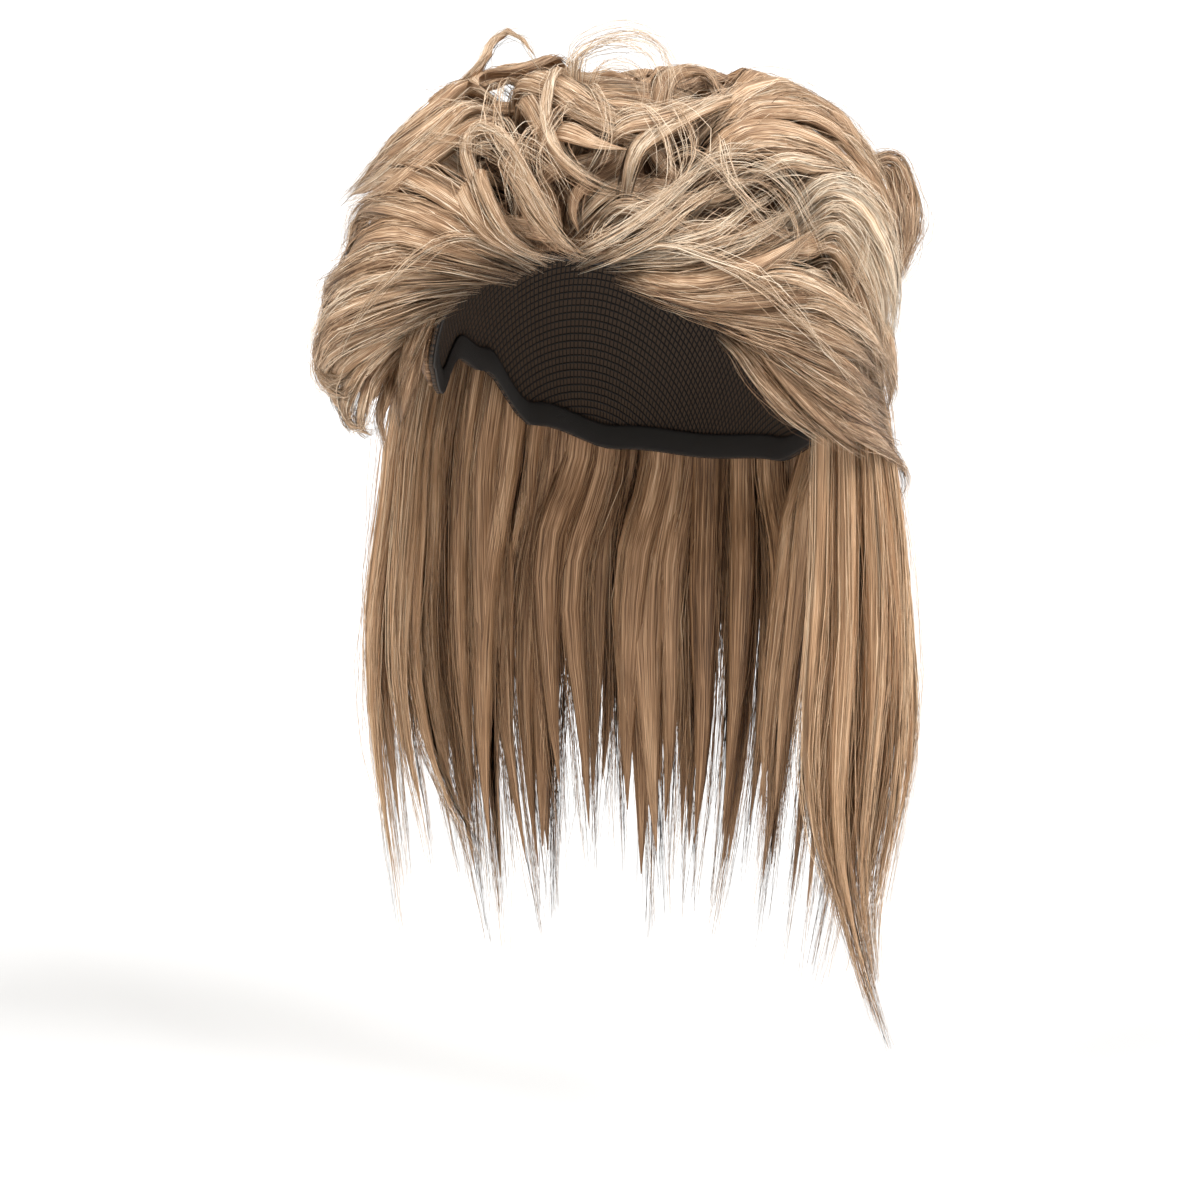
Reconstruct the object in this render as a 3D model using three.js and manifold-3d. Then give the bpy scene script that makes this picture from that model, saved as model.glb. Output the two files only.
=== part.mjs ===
// A mullet wig. A thin fitted net cap carries waved short hair over the top and sides and long
// straight hair that hangs behind the ears and down the back.
// Lengths are in millimetres and angles in degrees. +X is the wearer's left, -Y the front, +Z up.
// The origin is the inside of the cap's crown, where it rests on the head.
import * as THREE from "three";
import { ParametricGeometry } from "three/addons/geometries/ParametricGeometry.js";
import { mergeVertices } from "three/addons/utils/BufferGeometryUtils.js";
import Module from "manifold-3d";

const wasm = await Module();
wasm.setup();

// The head that the cap fits
const HEAD_WIDTH = 154;
const HEAD_LENGTH = 194;
const HEAD_RISE = 97; // from the widest level of the head up to its crown

// The cap and its elastic edge
const CAP_WALL = 1.6;
const BAND_WALL = 1.3;
const BAND_WIDTH = 10;
const PIECE_GAP = 0.4; // left between neighbouring pieces
const CAP_FACETS = 30;
const CAP_ROWS = 5;

// The short hair
const TOP_DEPTH = 56; // from the head to the outside of the waves
const LOCK_WIDTH = 34;
const LOCK_THICKNESS = 15;
const CROWN_DROP = 38; // where the crown's packed hair meets the sides'
const SIDE_DROP = 78; // where the sides' packed hair meets the long hair's

// The long hair
const TAIL_LENGTH = 390; // from the crown of the head to the longest tip
const TAIL_HALF_WIDTH = 105;
const TAIL_HALF_DEPTH = 94;
const TAIL_BASE_DEPTH = 9;
const TAIL_LOCK_WIDTH = 40;
const TAIL_LOCK_THICKNESS = 10;

// How far the cap's edge lies from the crown, as an angle at the head's centre, on either side
const CAP_EDGE = [
  { turn: 0, drop: 50 },
  { turn: 28, drop: 52 },
  { turn: 52, drop: 66 },
  { turn: 68, drop: 84 },
  { turn: 79, drop: 92 },
  { turn: 90, drop: 85 },
  { turn: 104, drop: 90 },
  { turn: 122, drop: 106 },
  { turn: 150, drop: 114 },
  { turn: 180, drop: 116 },
];

// How deep the packed hair lies over the head from the crown down, on four lines from the front
// round to the nape, as shares of TOP_DEPTH
const FORM_LINES = { front: 0, temple: 58, ear: 105, nape: 180 };
const HAIR_FORM = [
  { drop: 0, front: 0.56, temple: 0.56, ear: 0.56, nape: 0.56 },
  { drop: 22, front: 0.66, temple: 0.78, ear: 0.8, nape: 0.68 },
  { drop: 42, front: 0.5, temple: 0.84, ear: 0.88, nape: 0.68 },
  { drop: 62, front: 0.24, temple: 0.82, ear: 0.74, nape: 0.6 },
  { drop: 82, front: 0.24, temple: 0.7, ear: 0.42, nape: 0.5 },
  { drop: 104, front: 0.24, temple: 0.54, ear: 0.42, nape: 0.36 },
];

// Runs of waved locks. A run's roots and tips lie evenly along two lines over the head, from one
// turn and drop to another. lift and flip are how far its middles and tips stand out of the packed
// hair, as shares of TOP_DEPTH, and sway is how far its middles swing aside, in degrees.
const LOCK_RUNS = [
  {
    piece: "crown_hair", count: 4, lift: 0.12, flip: 0.02, sway: 16,
    roots: { turn: [-50, 40], drop: [8, 12] },
    tips: { turn: [-58, 26], drop: [54, 46] },
  },
  {
    piece: "crown_hair", count: 3, lift: 0.12, flip: 0.04, sway: -18,
    roots: { turn: [56, 100], drop: [10, 12] },
    tips: { turn: [44, 98], drop: [54, 60] },
  },
  {
    piece: "crown_hair", count: 4, lift: 0.1, flip: 0.02, sway: 16,
    roots: { turn: [128, 292], drop: [12, 12] },
    tips: { turn: [128, 280], drop: [58, 58] },
  },
  {
    piece: "fringe_left", count: 4, lift: 0.06, flip: 0.04, sway: 3,
    roots: { turn: [6, 48], drop: [42, 42] },
    tips: { turn: [84, 118], drop: [98, 104] },
  },
  {
    piece: "fringe_right", count: 4, lift: 0.06, flip: 0.08, sway: -3,
    roots: { turn: [-6, -48], drop: [42, 42] },
    tips: { turn: [-68, -98], drop: [94, 104] },
  },
  {
    piece: "side_hair_left", count: 4, lift: 0.06, flip: 0.04, sway: 8,
    roots: { turn: [74, 124], drop: [42, 42] },
    tips: { turn: [96, 134], drop: [92, 104] },
  },
  {
    piece: "side_hair_right", count: 4, lift: 0.06, flip: 0.08, sway: -8,
    roots: { turn: [-74, -124], drop: [42, 42] },
    tips: { turn: [-100, -134], drop: [106, 106] },
  },
  {
    piece: "back_hair", count: 5, lift: 0.05, flip: 0.04, sway: 6,
    roots: { turn: [136, 218], drop: [42, 42] },
    tips: { turn: [140, 220], drop: [106, 108] },
  },
];
const EVEN_SWAY = 0.5; // of every other lock in a run, as a share of its neighbours'
const LOCK_STEPS = 4;
const LOCK_SIDES = 6;

// A waved lock's width and thickness along it, as shares of its largest
const WAVE_SHAPE = [
  { along: 0, wide: 0.6, thick: 0.6 },
  { along: 0.5, wide: 1, thick: 1 },
  { along: 1, wide: 0.35, thick: 0.35 },
];

// The sector of the head that each short piece's packed hair covers, from one turn to the other
const SECTORS = {
  fringe_left: [0, 60],
  fringe_right: [-60, 0],
  side_hair_left: [60, 128],
  side_hair_right: [-128, -60],
  back_hair: [128, 232],
};

// The long locks: where round the head each hangs, how far down its tip reaches as a share of
// TAIL_LENGTH, how far it turns on the way down, in degrees, and its width as a share of
// TAIL_LOCK_WIDTH
const TAIL_LOCKS = [
  { piece: "tail_left", turn: 94, reach: 0.8, drift: 4, size: 0.8 },
  { piece: "tail_left", turn: 106, reach: 1.0, drift: 6, size: 1.0 },
  { piece: "tail_left", turn: 119, reach: 0.91, drift: 4, size: 1.0 },
  { piece: "tail_back_left", turn: 137, reach: 0.84, drift: 2, size: 1.0 },
  { piece: "tail_back_left", turn: 154, reach: 0.9, drift: 2, size: 1.05 },
  { piece: "tail_back_left", turn: 171, reach: 0.86, drift: 0, size: 1.0 },
  { piece: "tail_back_right", turn: 189, reach: 0.92, drift: 0, size: 1.0 },
  { piece: "tail_back_right", turn: 206, reach: 0.86, drift: -2, size: 1.05 },
  { piece: "tail_back_right", turn: 223, reach: 0.88, drift: -2, size: 1.0 },
  { piece: "tail_right", turn: 241, reach: 0.82, drift: -8, size: 1.0 },
  { piece: "tail_right", turn: 254, reach: 0.84, drift: -10, size: 1.0 },
  { piece: "tail_right", turn: 266, reach: 0.9, drift: 3, size: 0.8 },
];
const TAIL_SECTORS = {
  tail_left: [86, 128],
  tail_back_left: [128, 180],
  tail_back_right: [180, 232],
  tail_right: [232, 274],
};

// Where a long lock leaves the cap, as a drop below SIDE_DROP and a height over the packed hair's
// middle, the latter a share of TAIL_LOCK_THICKNESS
const TAIL_ROOT = [
  { below: 4, out: 0 },
  { below: 14, out: 0.4 },
];

// How wide the long hair hangs at each height: down is a share of a lock's reach, and wide a share
// of TAIL_HALF_WIDTH and TAIL_HALF_DEPTH
const TAIL_FALL = [
  { down: 0.42, wide: 0.97 },
  { down: 0.58, wide: 1.0 },
  { down: 0.8, wide: 0.95 },
  { down: 1.0, wide: 0.84 },
];

// A long lock's width and thickness along it, as shares of its largest
const TAIL_SHAPE = [
  { along: 0, wide: 0.8, thick: 0.9 },
  { along: 0.62, wide: 1, thick: 1 },
  { along: 1, wide: 0.12, thick: 0.3 },
];

const COLOURS = {
  net: { color: 0x17120f, roughness: 0.9, metalness: 0 },
  elastic: { color: 0x1d1815, roughness: 0.85, metalness: 0 },
  waves: { color: 0xc29b6c, roughness: 0.45, metalness: 0 },
  straight: { color: 0xb08a5e, roughness: 0.42, metalness: 0 },
};

const rad = THREE.MathUtils.degToRad;
const lerp = THREE.MathUtils.lerp;

// A length along the head, as a drop.
const arc = (length) => THREE.MathUtils.radToDeg(length / HEAD_RISE);

// A point at a height over the head, by its turn from the front and its drop from the crown.
function headPoint(turn, drop, height) {
  const t = rad(turn);
  const d = rad(drop);
  return new THREE.Vector3(
    (HEAD_WIDTH / 2 + height) * Math.sin(d) * Math.sin(t),
    -(HEAD_LENGTH / 2 + height) * Math.sin(d) * Math.cos(t),
    -HEAD_RISE + (HEAD_RISE + height) * Math.cos(d),
  );
}

// One column of a table at a place between its rows, smooth from row to row.
function column(rows, key, place, name) {
  const after = rows.findIndex((row) => row[key] >= place);
  const next = after < 0 ? rows.length - 1 : Math.max(1, after);
  const [a, b] = [rows[next - 1], rows[next]];
  return lerp(a[name], b[name], THREE.MathUtils.smoothstep(place, a[key], b[key]));
}

// A turn's angle from the front, the same to either side.
const fromFront = (turn) => Math.abs(THREE.MathUtils.euclideanModulo(turn + 180, 360) - 180);

const edgeDrop = (turn) => column(CAP_EDGE, "turn", fromFront(turn), "drop");

// How deep the packed hair lies at a turn and a drop.
function hairDepth(turn, drop) {
  const lines = Object.entries(FORM_LINES).map(([line, at]) => ({
    at,
    depth: column(HAIR_FORM, "drop", drop, line),
  }));
  return TOP_DEPTH * column(lines, "at", fromFront(turn), "depth");
}

// A closed geometry as a solid, whichever way its faces are wound.
function solidOf(geometry) {
  geometry.deleteAttribute("normal");
  geometry.deleteAttribute("uv");
  const merged = mergeVertices(geometry, 1e-3);
  const corners = merged.index.array;
  const faces = [];
  for (let i = 0; i < corners.length; i += 3) {
    const [a, b, c] = corners.slice(i, i + 3);
    if (a !== b && b !== c && a !== c) faces.push([a, b, c]);
  }
  const wound = (order) =>
    new wasm.Manifold(
      new wasm.Mesh({
        numProp: 3,
        vertProperties: new Float32Array(merged.attributes.position.array),
        triVerts: new Uint32Array(faces.flatMap(order)),
      }),
    );
  const solid = wound(([a, b, c]) => [a, b, c]);
  return solid.volume() > 0 ? solid : wound(([a, b, c]) => [b, a, c]);
}

// A shell over the head between two heights. top and bottom give its edges' drop at each turn, and
// high its outer height at each turn and drop. With a top of 0 it closes over the crown.
function shell({ top, bottom, low, high, around, rows }) {
  const closedTop = top(0) === 0;
  const steps = closedTop ? 2 * rows + 1 : 2 * rows + 2;
  const surface = (u, v, target) => {
    const turn = (u === 1 ? 0 : u) * 360;
    const step = Math.round(v * steps) % (closedTop ? steps + 1 : steps);
    const outward = step > rows;
    const share = outward ? 1 - (step - rows - 1) / rows : step / rows;
    const drop = lerp(top(turn), bottom(turn), share);
    target.copy(headPoint(turn, drop, outward ? high(turn, drop) : low));
  };
  return solidOf(new ParametricGeometry(surface, around, steps));
}

// A tapered lock along a path of points, flat towards the head. grow widens it all round.
function lock(path, shape, width, thickness, grow) {
  const curve = new THREE.CatmullRomCurve3(path, false, "centripetal");
  const rings = path.length;
  const surface = (u, v, target) => {
    const along = THREE.MathUtils.clamp((v * (rings + 1) - 0.5) / rings, 0, 1);
    const point = curve.getPoint(along);
    if (v > 0 && v < 1) {
      const tangent = curve.getTangent(along);
      const out = point.clone();
      out.z = Math.max(0, point.z + HEAD_RISE);
      out.addScaledVector(tangent, -out.dot(tangent)).normalize();
      const side = tangent.clone().cross(out);
      const angle = 2 * Math.PI * (u === 1 ? 0 : u);
      const halfWidth = (column(shape, "along", along, "wide") * width) / 2 + grow;
      const halfThickness = (column(shape, "along", along, "thick") * thickness) / 2 + grow;
      point.addScaledVector(side, halfWidth * Math.cos(angle));
      point.addScaledVector(out, halfThickness * Math.sin(angle));
    }
    target.copy(point);
  };
  return solidOf(new ParametricGeometry(surface, LOCK_SIDES, rings + 1));
}

// The points that one lock of a run follows over the packed hair.
function wavedPath(run, number) {
  const share = number / (run.count - 1);
  const root = { turn: lerp(...run.roots.turn, share), drop: lerp(...run.roots.drop, share) };
  const tip = { turn: lerp(...run.tips.turn, share), drop: lerp(...run.tips.drop, share) };
  const points = [];
  for (let i = 0; i <= LOCK_STEPS; i++) {
    const u = i / LOCK_STEPS;
    const hang = Math.sin(Math.PI * u);
    const swing = run.sway * hang * (number % 2 ? 1 : EVEN_SWAY);
    const turn = lerp(root.turn, tip.turn, u) + swing;
    const drop = lerp(root.drop, tip.drop, u);
    const stand = TOP_DEPTH * (run.lift * hang + run.flip * u) - (LOCK_THICKNESS / 2) * (1 - u);
    points.push(headPoint(turn, drop, hairDepth(turn, drop) + stand));
  }
  return points;
}

// The points that one long lock follows: over the cap's edge, then straight down.
function tailPath(row) {
  const middle = CAP_WALL + PIECE_GAP + TAIL_BASE_DEPTH / 2;
  const roots = TAIL_ROOT.map(({ below, out }) =>
    headPoint(row.turn, SIDE_DROP + below, middle + out * TAIL_LOCK_THICKNESS),
  );
  const falls = TAIL_FALL.map(({ down, wide }) => {
    const turn = rad(row.turn + row.drift * down);
    const x = TAIL_HALF_WIDTH * wide * Math.sin(turn);
    const y = -TAIL_HALF_DEPTH * wide * Math.cos(turn);
    return new THREE.Vector3(x, y, -row.reach * TAIL_LENGTH * down);
  });
  return [...roots, ...falls];
}

// A tall wedge round the vertical axis, between two turns, drawn in at both by a margin.
function wedge(from, to, margin) {
  const far = 2 * TAIL_LENGTH;
  const middle = rad((from + to) / 2);
  const inset = margin / Math.sin(rad((to - from) / 2));
  const apex = new THREE.Vector2(inset * Math.sin(middle), -inset * Math.cos(middle));
  const outline = new THREE.Shape([apex]);
  const sides = 4;
  for (let i = 0; i <= sides; i++) {
    const turn = rad(lerp(from, to, i / sides));
    outline.lineTo(apex.x + far * Math.sin(turn), apex.y - far * Math.cos(turn));
  }
  const geometry = new THREE.ExtrudeGeometry(outline, { depth: 2 * far, bevelEnabled: false });
  geometry.translate(0, 0, -far);
  return solidOf(geometry);
}

const union = (solids) => solids.reduce((all, one) => all.add(one));

// The largest of a solid's bodies, which leaves out chips cut off by a neighbour.
const mainBody = (solid) => solid.decompose().sort((a, b) => b.volume() - a.volume())[0];

// The packed hair under one piece's locks. grow widens it outwards and to its sides.
function baseOf(piece, grow) {
  const low = CAP_WALL + PIECE_GAP;
  if (piece === "crown_hair")
    return shell({
      top: () => 0,
      bottom: () => CROWN_DROP + arc(grow),
      low,
      high: (turn, drop) => hairDepth(turn, drop) + grow,
      around: 20,
      rows: 3,
    });
  const isTail = piece in TAIL_SECTORS;
  const [from, to] = isTail ? TAIL_SECTORS[piece] : SECTORS[piece];
  const ring = shell({
    top: () => (isTail ? SIDE_DROP : CROWN_DROP) + arc(PIECE_GAP),
    bottom: (turn) => (isTail ? edgeDrop(turn) : Math.min(SIDE_DROP, edgeDrop(turn))),
    low,
    high: (turn, drop) => (isTail ? low + TAIL_BASE_DEPTH : hairDepth(turn, drop)) + grow,
    around: 20,
    rows: 2,
  });
  return ring.intersect(wedge(from, to, PIECE_GAP / 2 - grow));
}

// One piece of hair: its packed hair and its locks in one body.
function hair(piece, grow) {
  const solids = [baseOf(piece, grow)];
  for (const run of LOCK_RUNS.filter((entry) => entry.piece === piece))
    for (let number = 0; number < run.count; number++)
      solids.push(lock(wavedPath(run, number), WAVE_SHAPE, LOCK_WIDTH, LOCK_THICKNESS, grow));
  for (const row of TAIL_LOCKS.filter((entry) => entry.piece === piece)) {
    const width = row.size * TAIL_LOCK_WIDTH;
    solids.push(lock(tailPath(row), TAIL_SHAPE, width, TAIL_LOCK_THICKNESS, grow));
  }
  return union(solids);
}

// Pieces, with those that lie on top first: each later one is cut back clear of those before it.
const HAIR_PIECES = [
  "crown_hair",
  "fringe_left",
  "fringe_right",
  "side_hair_left",
  "side_hair_right",
  "back_hair",
  "tail_left",
  "tail_right",
  "tail_back_left",
  "tail_back_right",
];

function meshOf(name, solid, colour) {
  const made = solid.getMesh();
  const geometry = new THREE.BufferGeometry();
  geometry.setAttribute("position", new THREE.BufferAttribute(new Float32Array(made.vertProperties), 3));
  geometry.setIndex(new THREE.BufferAttribute(new Uint32Array(made.triVerts), 1));
  geometry.computeVertexNormals();
  const mesh = new THREE.Mesh(geometry, new THREE.MeshStandardMaterial(COLOURS[colour]));
  mesh.name = name;
  return mesh;
}

// A layer of the cap between two heights, which may run on beyond its edge.
function capLayer(low, high, beyond) {
  return shell({
    top: () => 0,
    bottom: (turn) => edgeDrop(turn) + arc(beyond),
    low,
    high: () => high,
    around: CAP_FACETS,
    rows: CAP_ROWS,
  });
}

// The cap with a gap all round it.
const capRoom = capLayer(-PIECE_GAP, CAP_WALL + PIECE_GAP, PIECE_GAP);

// The elastic band, sewn inside the cap along its edge.
function makeEdgeBand() {
  const edgeZone = shell({
    top: (turn) => edgeDrop(turn) - arc(BAND_WIDTH),
    bottom: (turn) => edgeDrop(turn) + arc(PIECE_GAP),
    low: -TOP_DEPTH,
    high: () => TOP_DEPTH,
    around: CAP_FACETS,
    rows: 1,
  });
  return capLayer(-PIECE_GAP - BAND_WALL, 0, 0).intersect(edgeZone).subtract(capRoom);
}

const wig = new THREE.Group();
wig.name = "mullet_wig";
wig.add(meshOf("cap", capLayer(0, CAP_WALL, 0), "net"));
wig.add(meshOf("edge_band", makeEdgeBand(), "elastic"));

let taken = capRoom;
for (const piece of HAIR_PIECES) {
  const solid = mainBody(hair(piece, 0).subtract(taken));
  taken = taken.add(hair(piece, PIECE_GAP));
  wig.add(meshOf(piece, solid, piece in TAIL_SECTORS ? "straight" : "waves"));
}

export default wig;
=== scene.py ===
"""A mullet wig. Waved dark blonde hair covers a net cap, and long straight hair hangs from its back edge.

Lengths are in millimetres until a mesh is made, and angles in degrees. A turn is counted round the
head from the front to the wearer's left, a drop is counted from the crown down, and a height is how
far something stands over the head.
"""

import math

import bpy
import numpy as np
from mathutils import Matrix, Vector


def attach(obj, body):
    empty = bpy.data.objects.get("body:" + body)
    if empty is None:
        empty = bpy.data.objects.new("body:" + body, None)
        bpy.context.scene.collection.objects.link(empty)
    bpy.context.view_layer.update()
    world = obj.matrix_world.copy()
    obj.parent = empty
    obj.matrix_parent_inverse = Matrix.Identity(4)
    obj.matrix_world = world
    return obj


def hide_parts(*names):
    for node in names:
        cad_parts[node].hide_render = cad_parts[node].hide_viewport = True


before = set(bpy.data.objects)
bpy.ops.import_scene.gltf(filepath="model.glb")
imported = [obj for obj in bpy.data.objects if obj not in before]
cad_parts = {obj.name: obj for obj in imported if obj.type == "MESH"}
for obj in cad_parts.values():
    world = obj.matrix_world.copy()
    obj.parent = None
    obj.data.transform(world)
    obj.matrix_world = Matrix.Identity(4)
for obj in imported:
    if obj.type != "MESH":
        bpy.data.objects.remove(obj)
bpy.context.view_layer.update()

MM = 0.001
SEED = 7

# The head that the cap fits
HEAD_WIDTH = 154
HEAD_LENGTH = 194
HEAD_RISE = 97
HEAD_RADII = np.array([HEAD_WIDTH / 2, HEAD_LENGTH / 2, HEAD_RISE])
HEAD_MIDDLE = np.array([0, 0, -HEAD_RISE])

# The cap
CAP_WALL = 1.6
BAND_WALL = 1.3
BAND_WIDTH = 10
PIECE_GAP = 0.4

# The hair
TOP_DEPTH = 56
SIDE_DROP = 78
TAIL_LENGTH = 390
TAIL_HALF_WIDTH = 105
TAIL_HALF_DEPTH = 94

# The cap edge's turn and drop, on either side
CAP_EDGE = {
    "turn": [0, 28, 52, 68, 79, 90, 104, 122, 150, 180],
    "drop": [50, 52, 66, 84, 92, 85, 90, 106, 114, 116],
}

# How deep the hair lies on four lines from the front round to the nape, as shares of TOP_DEPTH
FORM_TURNS = [0, 58, 105, 180]
FORM_DROPS = [0, 22, 42, 62, 82, 104]
FORM_DEPTHS = [
    [0.56, 0.66, 0.5, 0.24, 0.24, 0.24],
    [0.56, 0.78, 0.84, 0.82, 0.7, 0.54],
    [0.56, 0.8, 0.88, 0.74, 0.42, 0.42],
    [0.56, 0.68, 0.68, 0.6, 0.5, 0.36],
]


# The camera, as it stood for the picture, whose sides are PICTURE pixels long. CLIP is in metres.

PICTURE = 1200
FOCAL_PIXELS = 3750
SENSOR = 36.0
CAMERA_TURN = 22.0
CAMERA_RISE = 12.5
CAMERA_REACH = 1500
CAMERA_TARGET = np.array([3.5, -40.6, -175.7])
CLIP = (0.05, 100)


def direction(turn, rise):
    """The way out from the middle at a turn and a rise, as a unit vector."""
    turn, rise = math.radians(turn), math.radians(rise)
    return np.array([math.sin(turn) * math.cos(rise), -math.cos(turn) * math.cos(rise), math.sin(rise)])


BACK = direction(CAMERA_TURN, CAMERA_RISE)
RIGHT = direction(CAMERA_TURN + 90, 0)
UP = np.cross(BACK, RIGHT)
EYE = CAMERA_TARGET + CAMERA_REACH * BACK


def make_camera():
    data = bpy.data.cameras.new("camera")
    data.sensor_width = SENSOR
    data.lens = FOCAL_PIXELS / PICTURE * SENSOR
    data.clip_start, data.clip_end = CLIP
    camera = bpy.data.objects.new("camera", data)
    axes = Matrix([RIGHT, UP, BACK]).transposed()
    camera.matrix_world = Matrix.Translation(Vector(EYE * MM)) @ axes.to_4x4()
    bpy.context.scene.collection.objects.link(camera)
    bpy.context.scene.camera = camera


# Shapes over the head

# Hair stays HAIR_GAP off the cap. From FREE_BELOW down it hangs free, and FREE_FADE lies between.
HAIR_GAP = 1.3
FREE_BELOW = -150
FREE_FADE = 15


def unit(v):
    return v / np.maximum(np.linalg.norm(v, axis=-1, keepdims=True), 1e-9)


def place_among(places, x):
    """Which place comes after x, and x's share of the way to it from the one before, eased."""
    after = np.clip(np.searchsorted(places, x), 1, len(places) - 1)
    share = (x - places[after - 1]) / (places[after] - places[after - 1])
    return after, share * share * (3 - 2 * share)


def smooth_between(places, values, x):
    """The values at x, smooth from each place to the next. values may hold one row or several."""
    places, values = np.asarray(places, float), np.asarray(values, float)
    after, share = place_among(places, np.clip(x, places[0], places[-1]))
    low, high = values[..., after - 1], values[..., after]
    return low + (high - low) * share


def head_point(turn, drop, height):
    """Points over the head, as an array whose last axis is x, y, z."""
    turn, drop = np.radians(turn), np.radians(drop)
    x = (HEAD_WIDTH / 2 + height) * np.sin(drop) * np.sin(turn)
    y = -(HEAD_LENGTH / 2 + height) * np.sin(drop) * np.cos(turn)
    z = -HEAD_RISE + (HEAD_RISE + height) * np.cos(drop)
    return np.stack(np.broadcast_arrays(x, y, z), -1)


def from_front(turn):
    return np.abs((np.asarray(turn, float) + 180) % 360 - 180)


def edge_drop(turn):
    return smooth_between(CAP_EDGE["turn"], CAP_EDGE["drop"], from_front(turn))


def hair_depth(turn, drop):
    """How deep the hair lies at a turn and a drop."""
    turn, drop = np.broadcast_arrays(np.asarray(turn, float), np.asarray(drop, float))
    by_line = smooth_between(FORM_DROPS, FORM_DEPTHS, drop)
    after, share = place_among(np.asarray(FORM_TURNS, float), from_front(turn))
    low = np.take_along_axis(by_line, (after - 1)[None], 0)[0]
    high = np.take_along_axis(by_line, after[None], 0)[0]
    return TOP_DEPTH * (low + (high - low) * share)


def kept_outside(points):
    """The same points, with those that lie in the cap moved out of it."""
    radii = HEAD_RADII + CAP_WALL + HAIR_GAP
    away = points - HEAD_MIDDLE
    share = np.linalg.norm(away / radii, axis=-1, keepdims=True)
    keep = np.clip((points[..., 2:] - FREE_BELOW) / FREE_FADE, 0, 1)
    return away * (1 + keep * np.maximum(0, 1 / share - 1)) + HEAD_MIDDLE


def ray_through(x, y):
    """The way from the camera through a pixel."""
    return RIGHT * (x - PICTURE / 2) / FOCAL_PIXELS + UP * (PICTURE / 2 - y) / FOCAL_PIXELS - BACK


def seen_point(x, y, height):
    """The point at a height over the head that shows at a pixel, or the nearest beyond its outline."""
    ray = unit(ray_through(x, y))
    radii = HEAD_RADII + height
    start, step = (EYE - HEAD_MIDDLE) / radii, ray / radii
    a, b, c = step @ step, start @ step, start @ start - 1
    root = max(b * b - a * c, 0.0)
    return EYE + ray * (-b - math.sqrt(root)) / a


def hung_point(x, y, turn):
    """The point that shows at a pixel and lies straight out from the head's axis at a turn."""
    ray = ray_through(x, y)
    across = direction(turn + 90, 0)
    return EYE - ray * (EYE @ across) / (ray @ across)


# Guides: the line that a lock follows, with its sideways and outward directions. It has GUIDE_POINTS
# points, on a curve drawn in CURVE_STEPS steps from each given point to the next. The rings of what
# lies along it are placed by STEPS_ALONG steps, which are more even the larger BEND_SHARE is.

GUIDE_POINTS = 40
CURVE_STEPS = 12
STEPS_ALONG = 100
BEND_SHARE = 2.0


def resampled(points, count):
    """A smooth line through a few points, as count points evenly spaced along it."""
    points = np.asarray(points, float)
    padded = np.vstack([2 * points[0] - points[1], points, 2 * points[-1] - points[-2]])
    t = np.linspace(0, 1, CURVE_STEPS, endpoint=False)[:, None]
    fine = []
    for i in range(len(points) - 1):
        a, b, c, d = padded[i : i + 4]
        square, cube = 2 * a - 5 * b + 4 * c - d, 3 * b - a - 3 * c + d
        fine.append(0.5 * (2 * b + (c - a) * t + square * t**2 + cube * t**3))
    fine = np.vstack([*fine, points[-1:]])
    reach = np.concatenate([[0], np.cumsum(np.linalg.norm(np.diff(fine, axis=0), axis=1))])
    even = np.linspace(0, reach[-1], count)
    return np.stack([np.interp(even, reach, fine[:, k]) for k in range(3)], 1)


def frames_along(centre):
    """Each guide's sideways and outward directions, from its points of shape (guides, points, 3)."""
    tangent = unit(np.gradient(centre, axis=1))
    away = centre.copy()
    away[..., 2] = np.maximum(0, centre[..., 2] + HEAD_RISE)
    out = unit(away - (away * tangent).sum(-1, keepdims=True) * tangent)
    return np.cross(tangent, out), out


def places_along(centre):
    """The shares of a guide's length that its steps lie at, closer together where it bends."""
    tangent = unit(np.diff(centre, axis=0))
    bend = np.linalg.norm(np.diff(tangent, axis=0), axis=1)
    weight = np.concatenate([[0], bend, [0]])
    weight = 1 / (GUIDE_POINTS - 1) + weight / max(BEND_SHARE, weight.sum())
    reach = np.concatenate([[0], np.cumsum(0.5 * (weight[1:] + weight[:-1]))])
    steps = np.linspace(0, 1, STEPS_ALONG)
    return np.interp(steps, reach / reach[-1], np.linspace(0, 1, GUIDE_POINTS))


def lines_at(lines, u):
    """Points at shares u of the way along lines of GUIDE_POINTS points, one row of u to a line."""
    place = u * (GUIDE_POINTS - 1)
    low = np.minimum(place.astype(int), GUIDE_POINTS - 2)
    share = (place - low)[..., None]
    row = np.arange(len(lines))[:, None]
    return lines[row, low] * (1 - share) + lines[row, low + 1] * share


def guide(centre, wide, thick, weight, tone=0.0, **more):
    """One lock: its line, its half width and half thickness, its share of the piece's strands and how
    light it is. twist is in degrees, root and tip are how wide it starts and ends as shares of its
    width, core says whether packed hair fills it, and loose is how far its strands stray."""
    lock = {"centre": centre, "wide": wide, "thick": thick, "weight": weight, "tone": tone}
    return {**lock, "twist": 0.0, "root": 0.6, "tip": 0.3, "core": True, "loose": 1.0, **more}


# Meshes

# How far along the UV's y a tube runs
TUBE_UV = (0.01, 0.99)


def part(points, quads, caps, quad_uv, cap_uv, normals=None):
    """Some faces of a mesh: its points, its faces of four with their UVs, and lists of its faces of
    three and their UVs. A point whose normal is zero takes the one of its faces."""
    return {
        "points": points,
        "normals": np.zeros_like(points) if normals is None else normals,
        "quads": quads,
        "caps": np.concatenate(caps),
        "quad_uv": quad_uv,
        "cap_uv": np.concatenate(cap_uv),
    }


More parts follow.
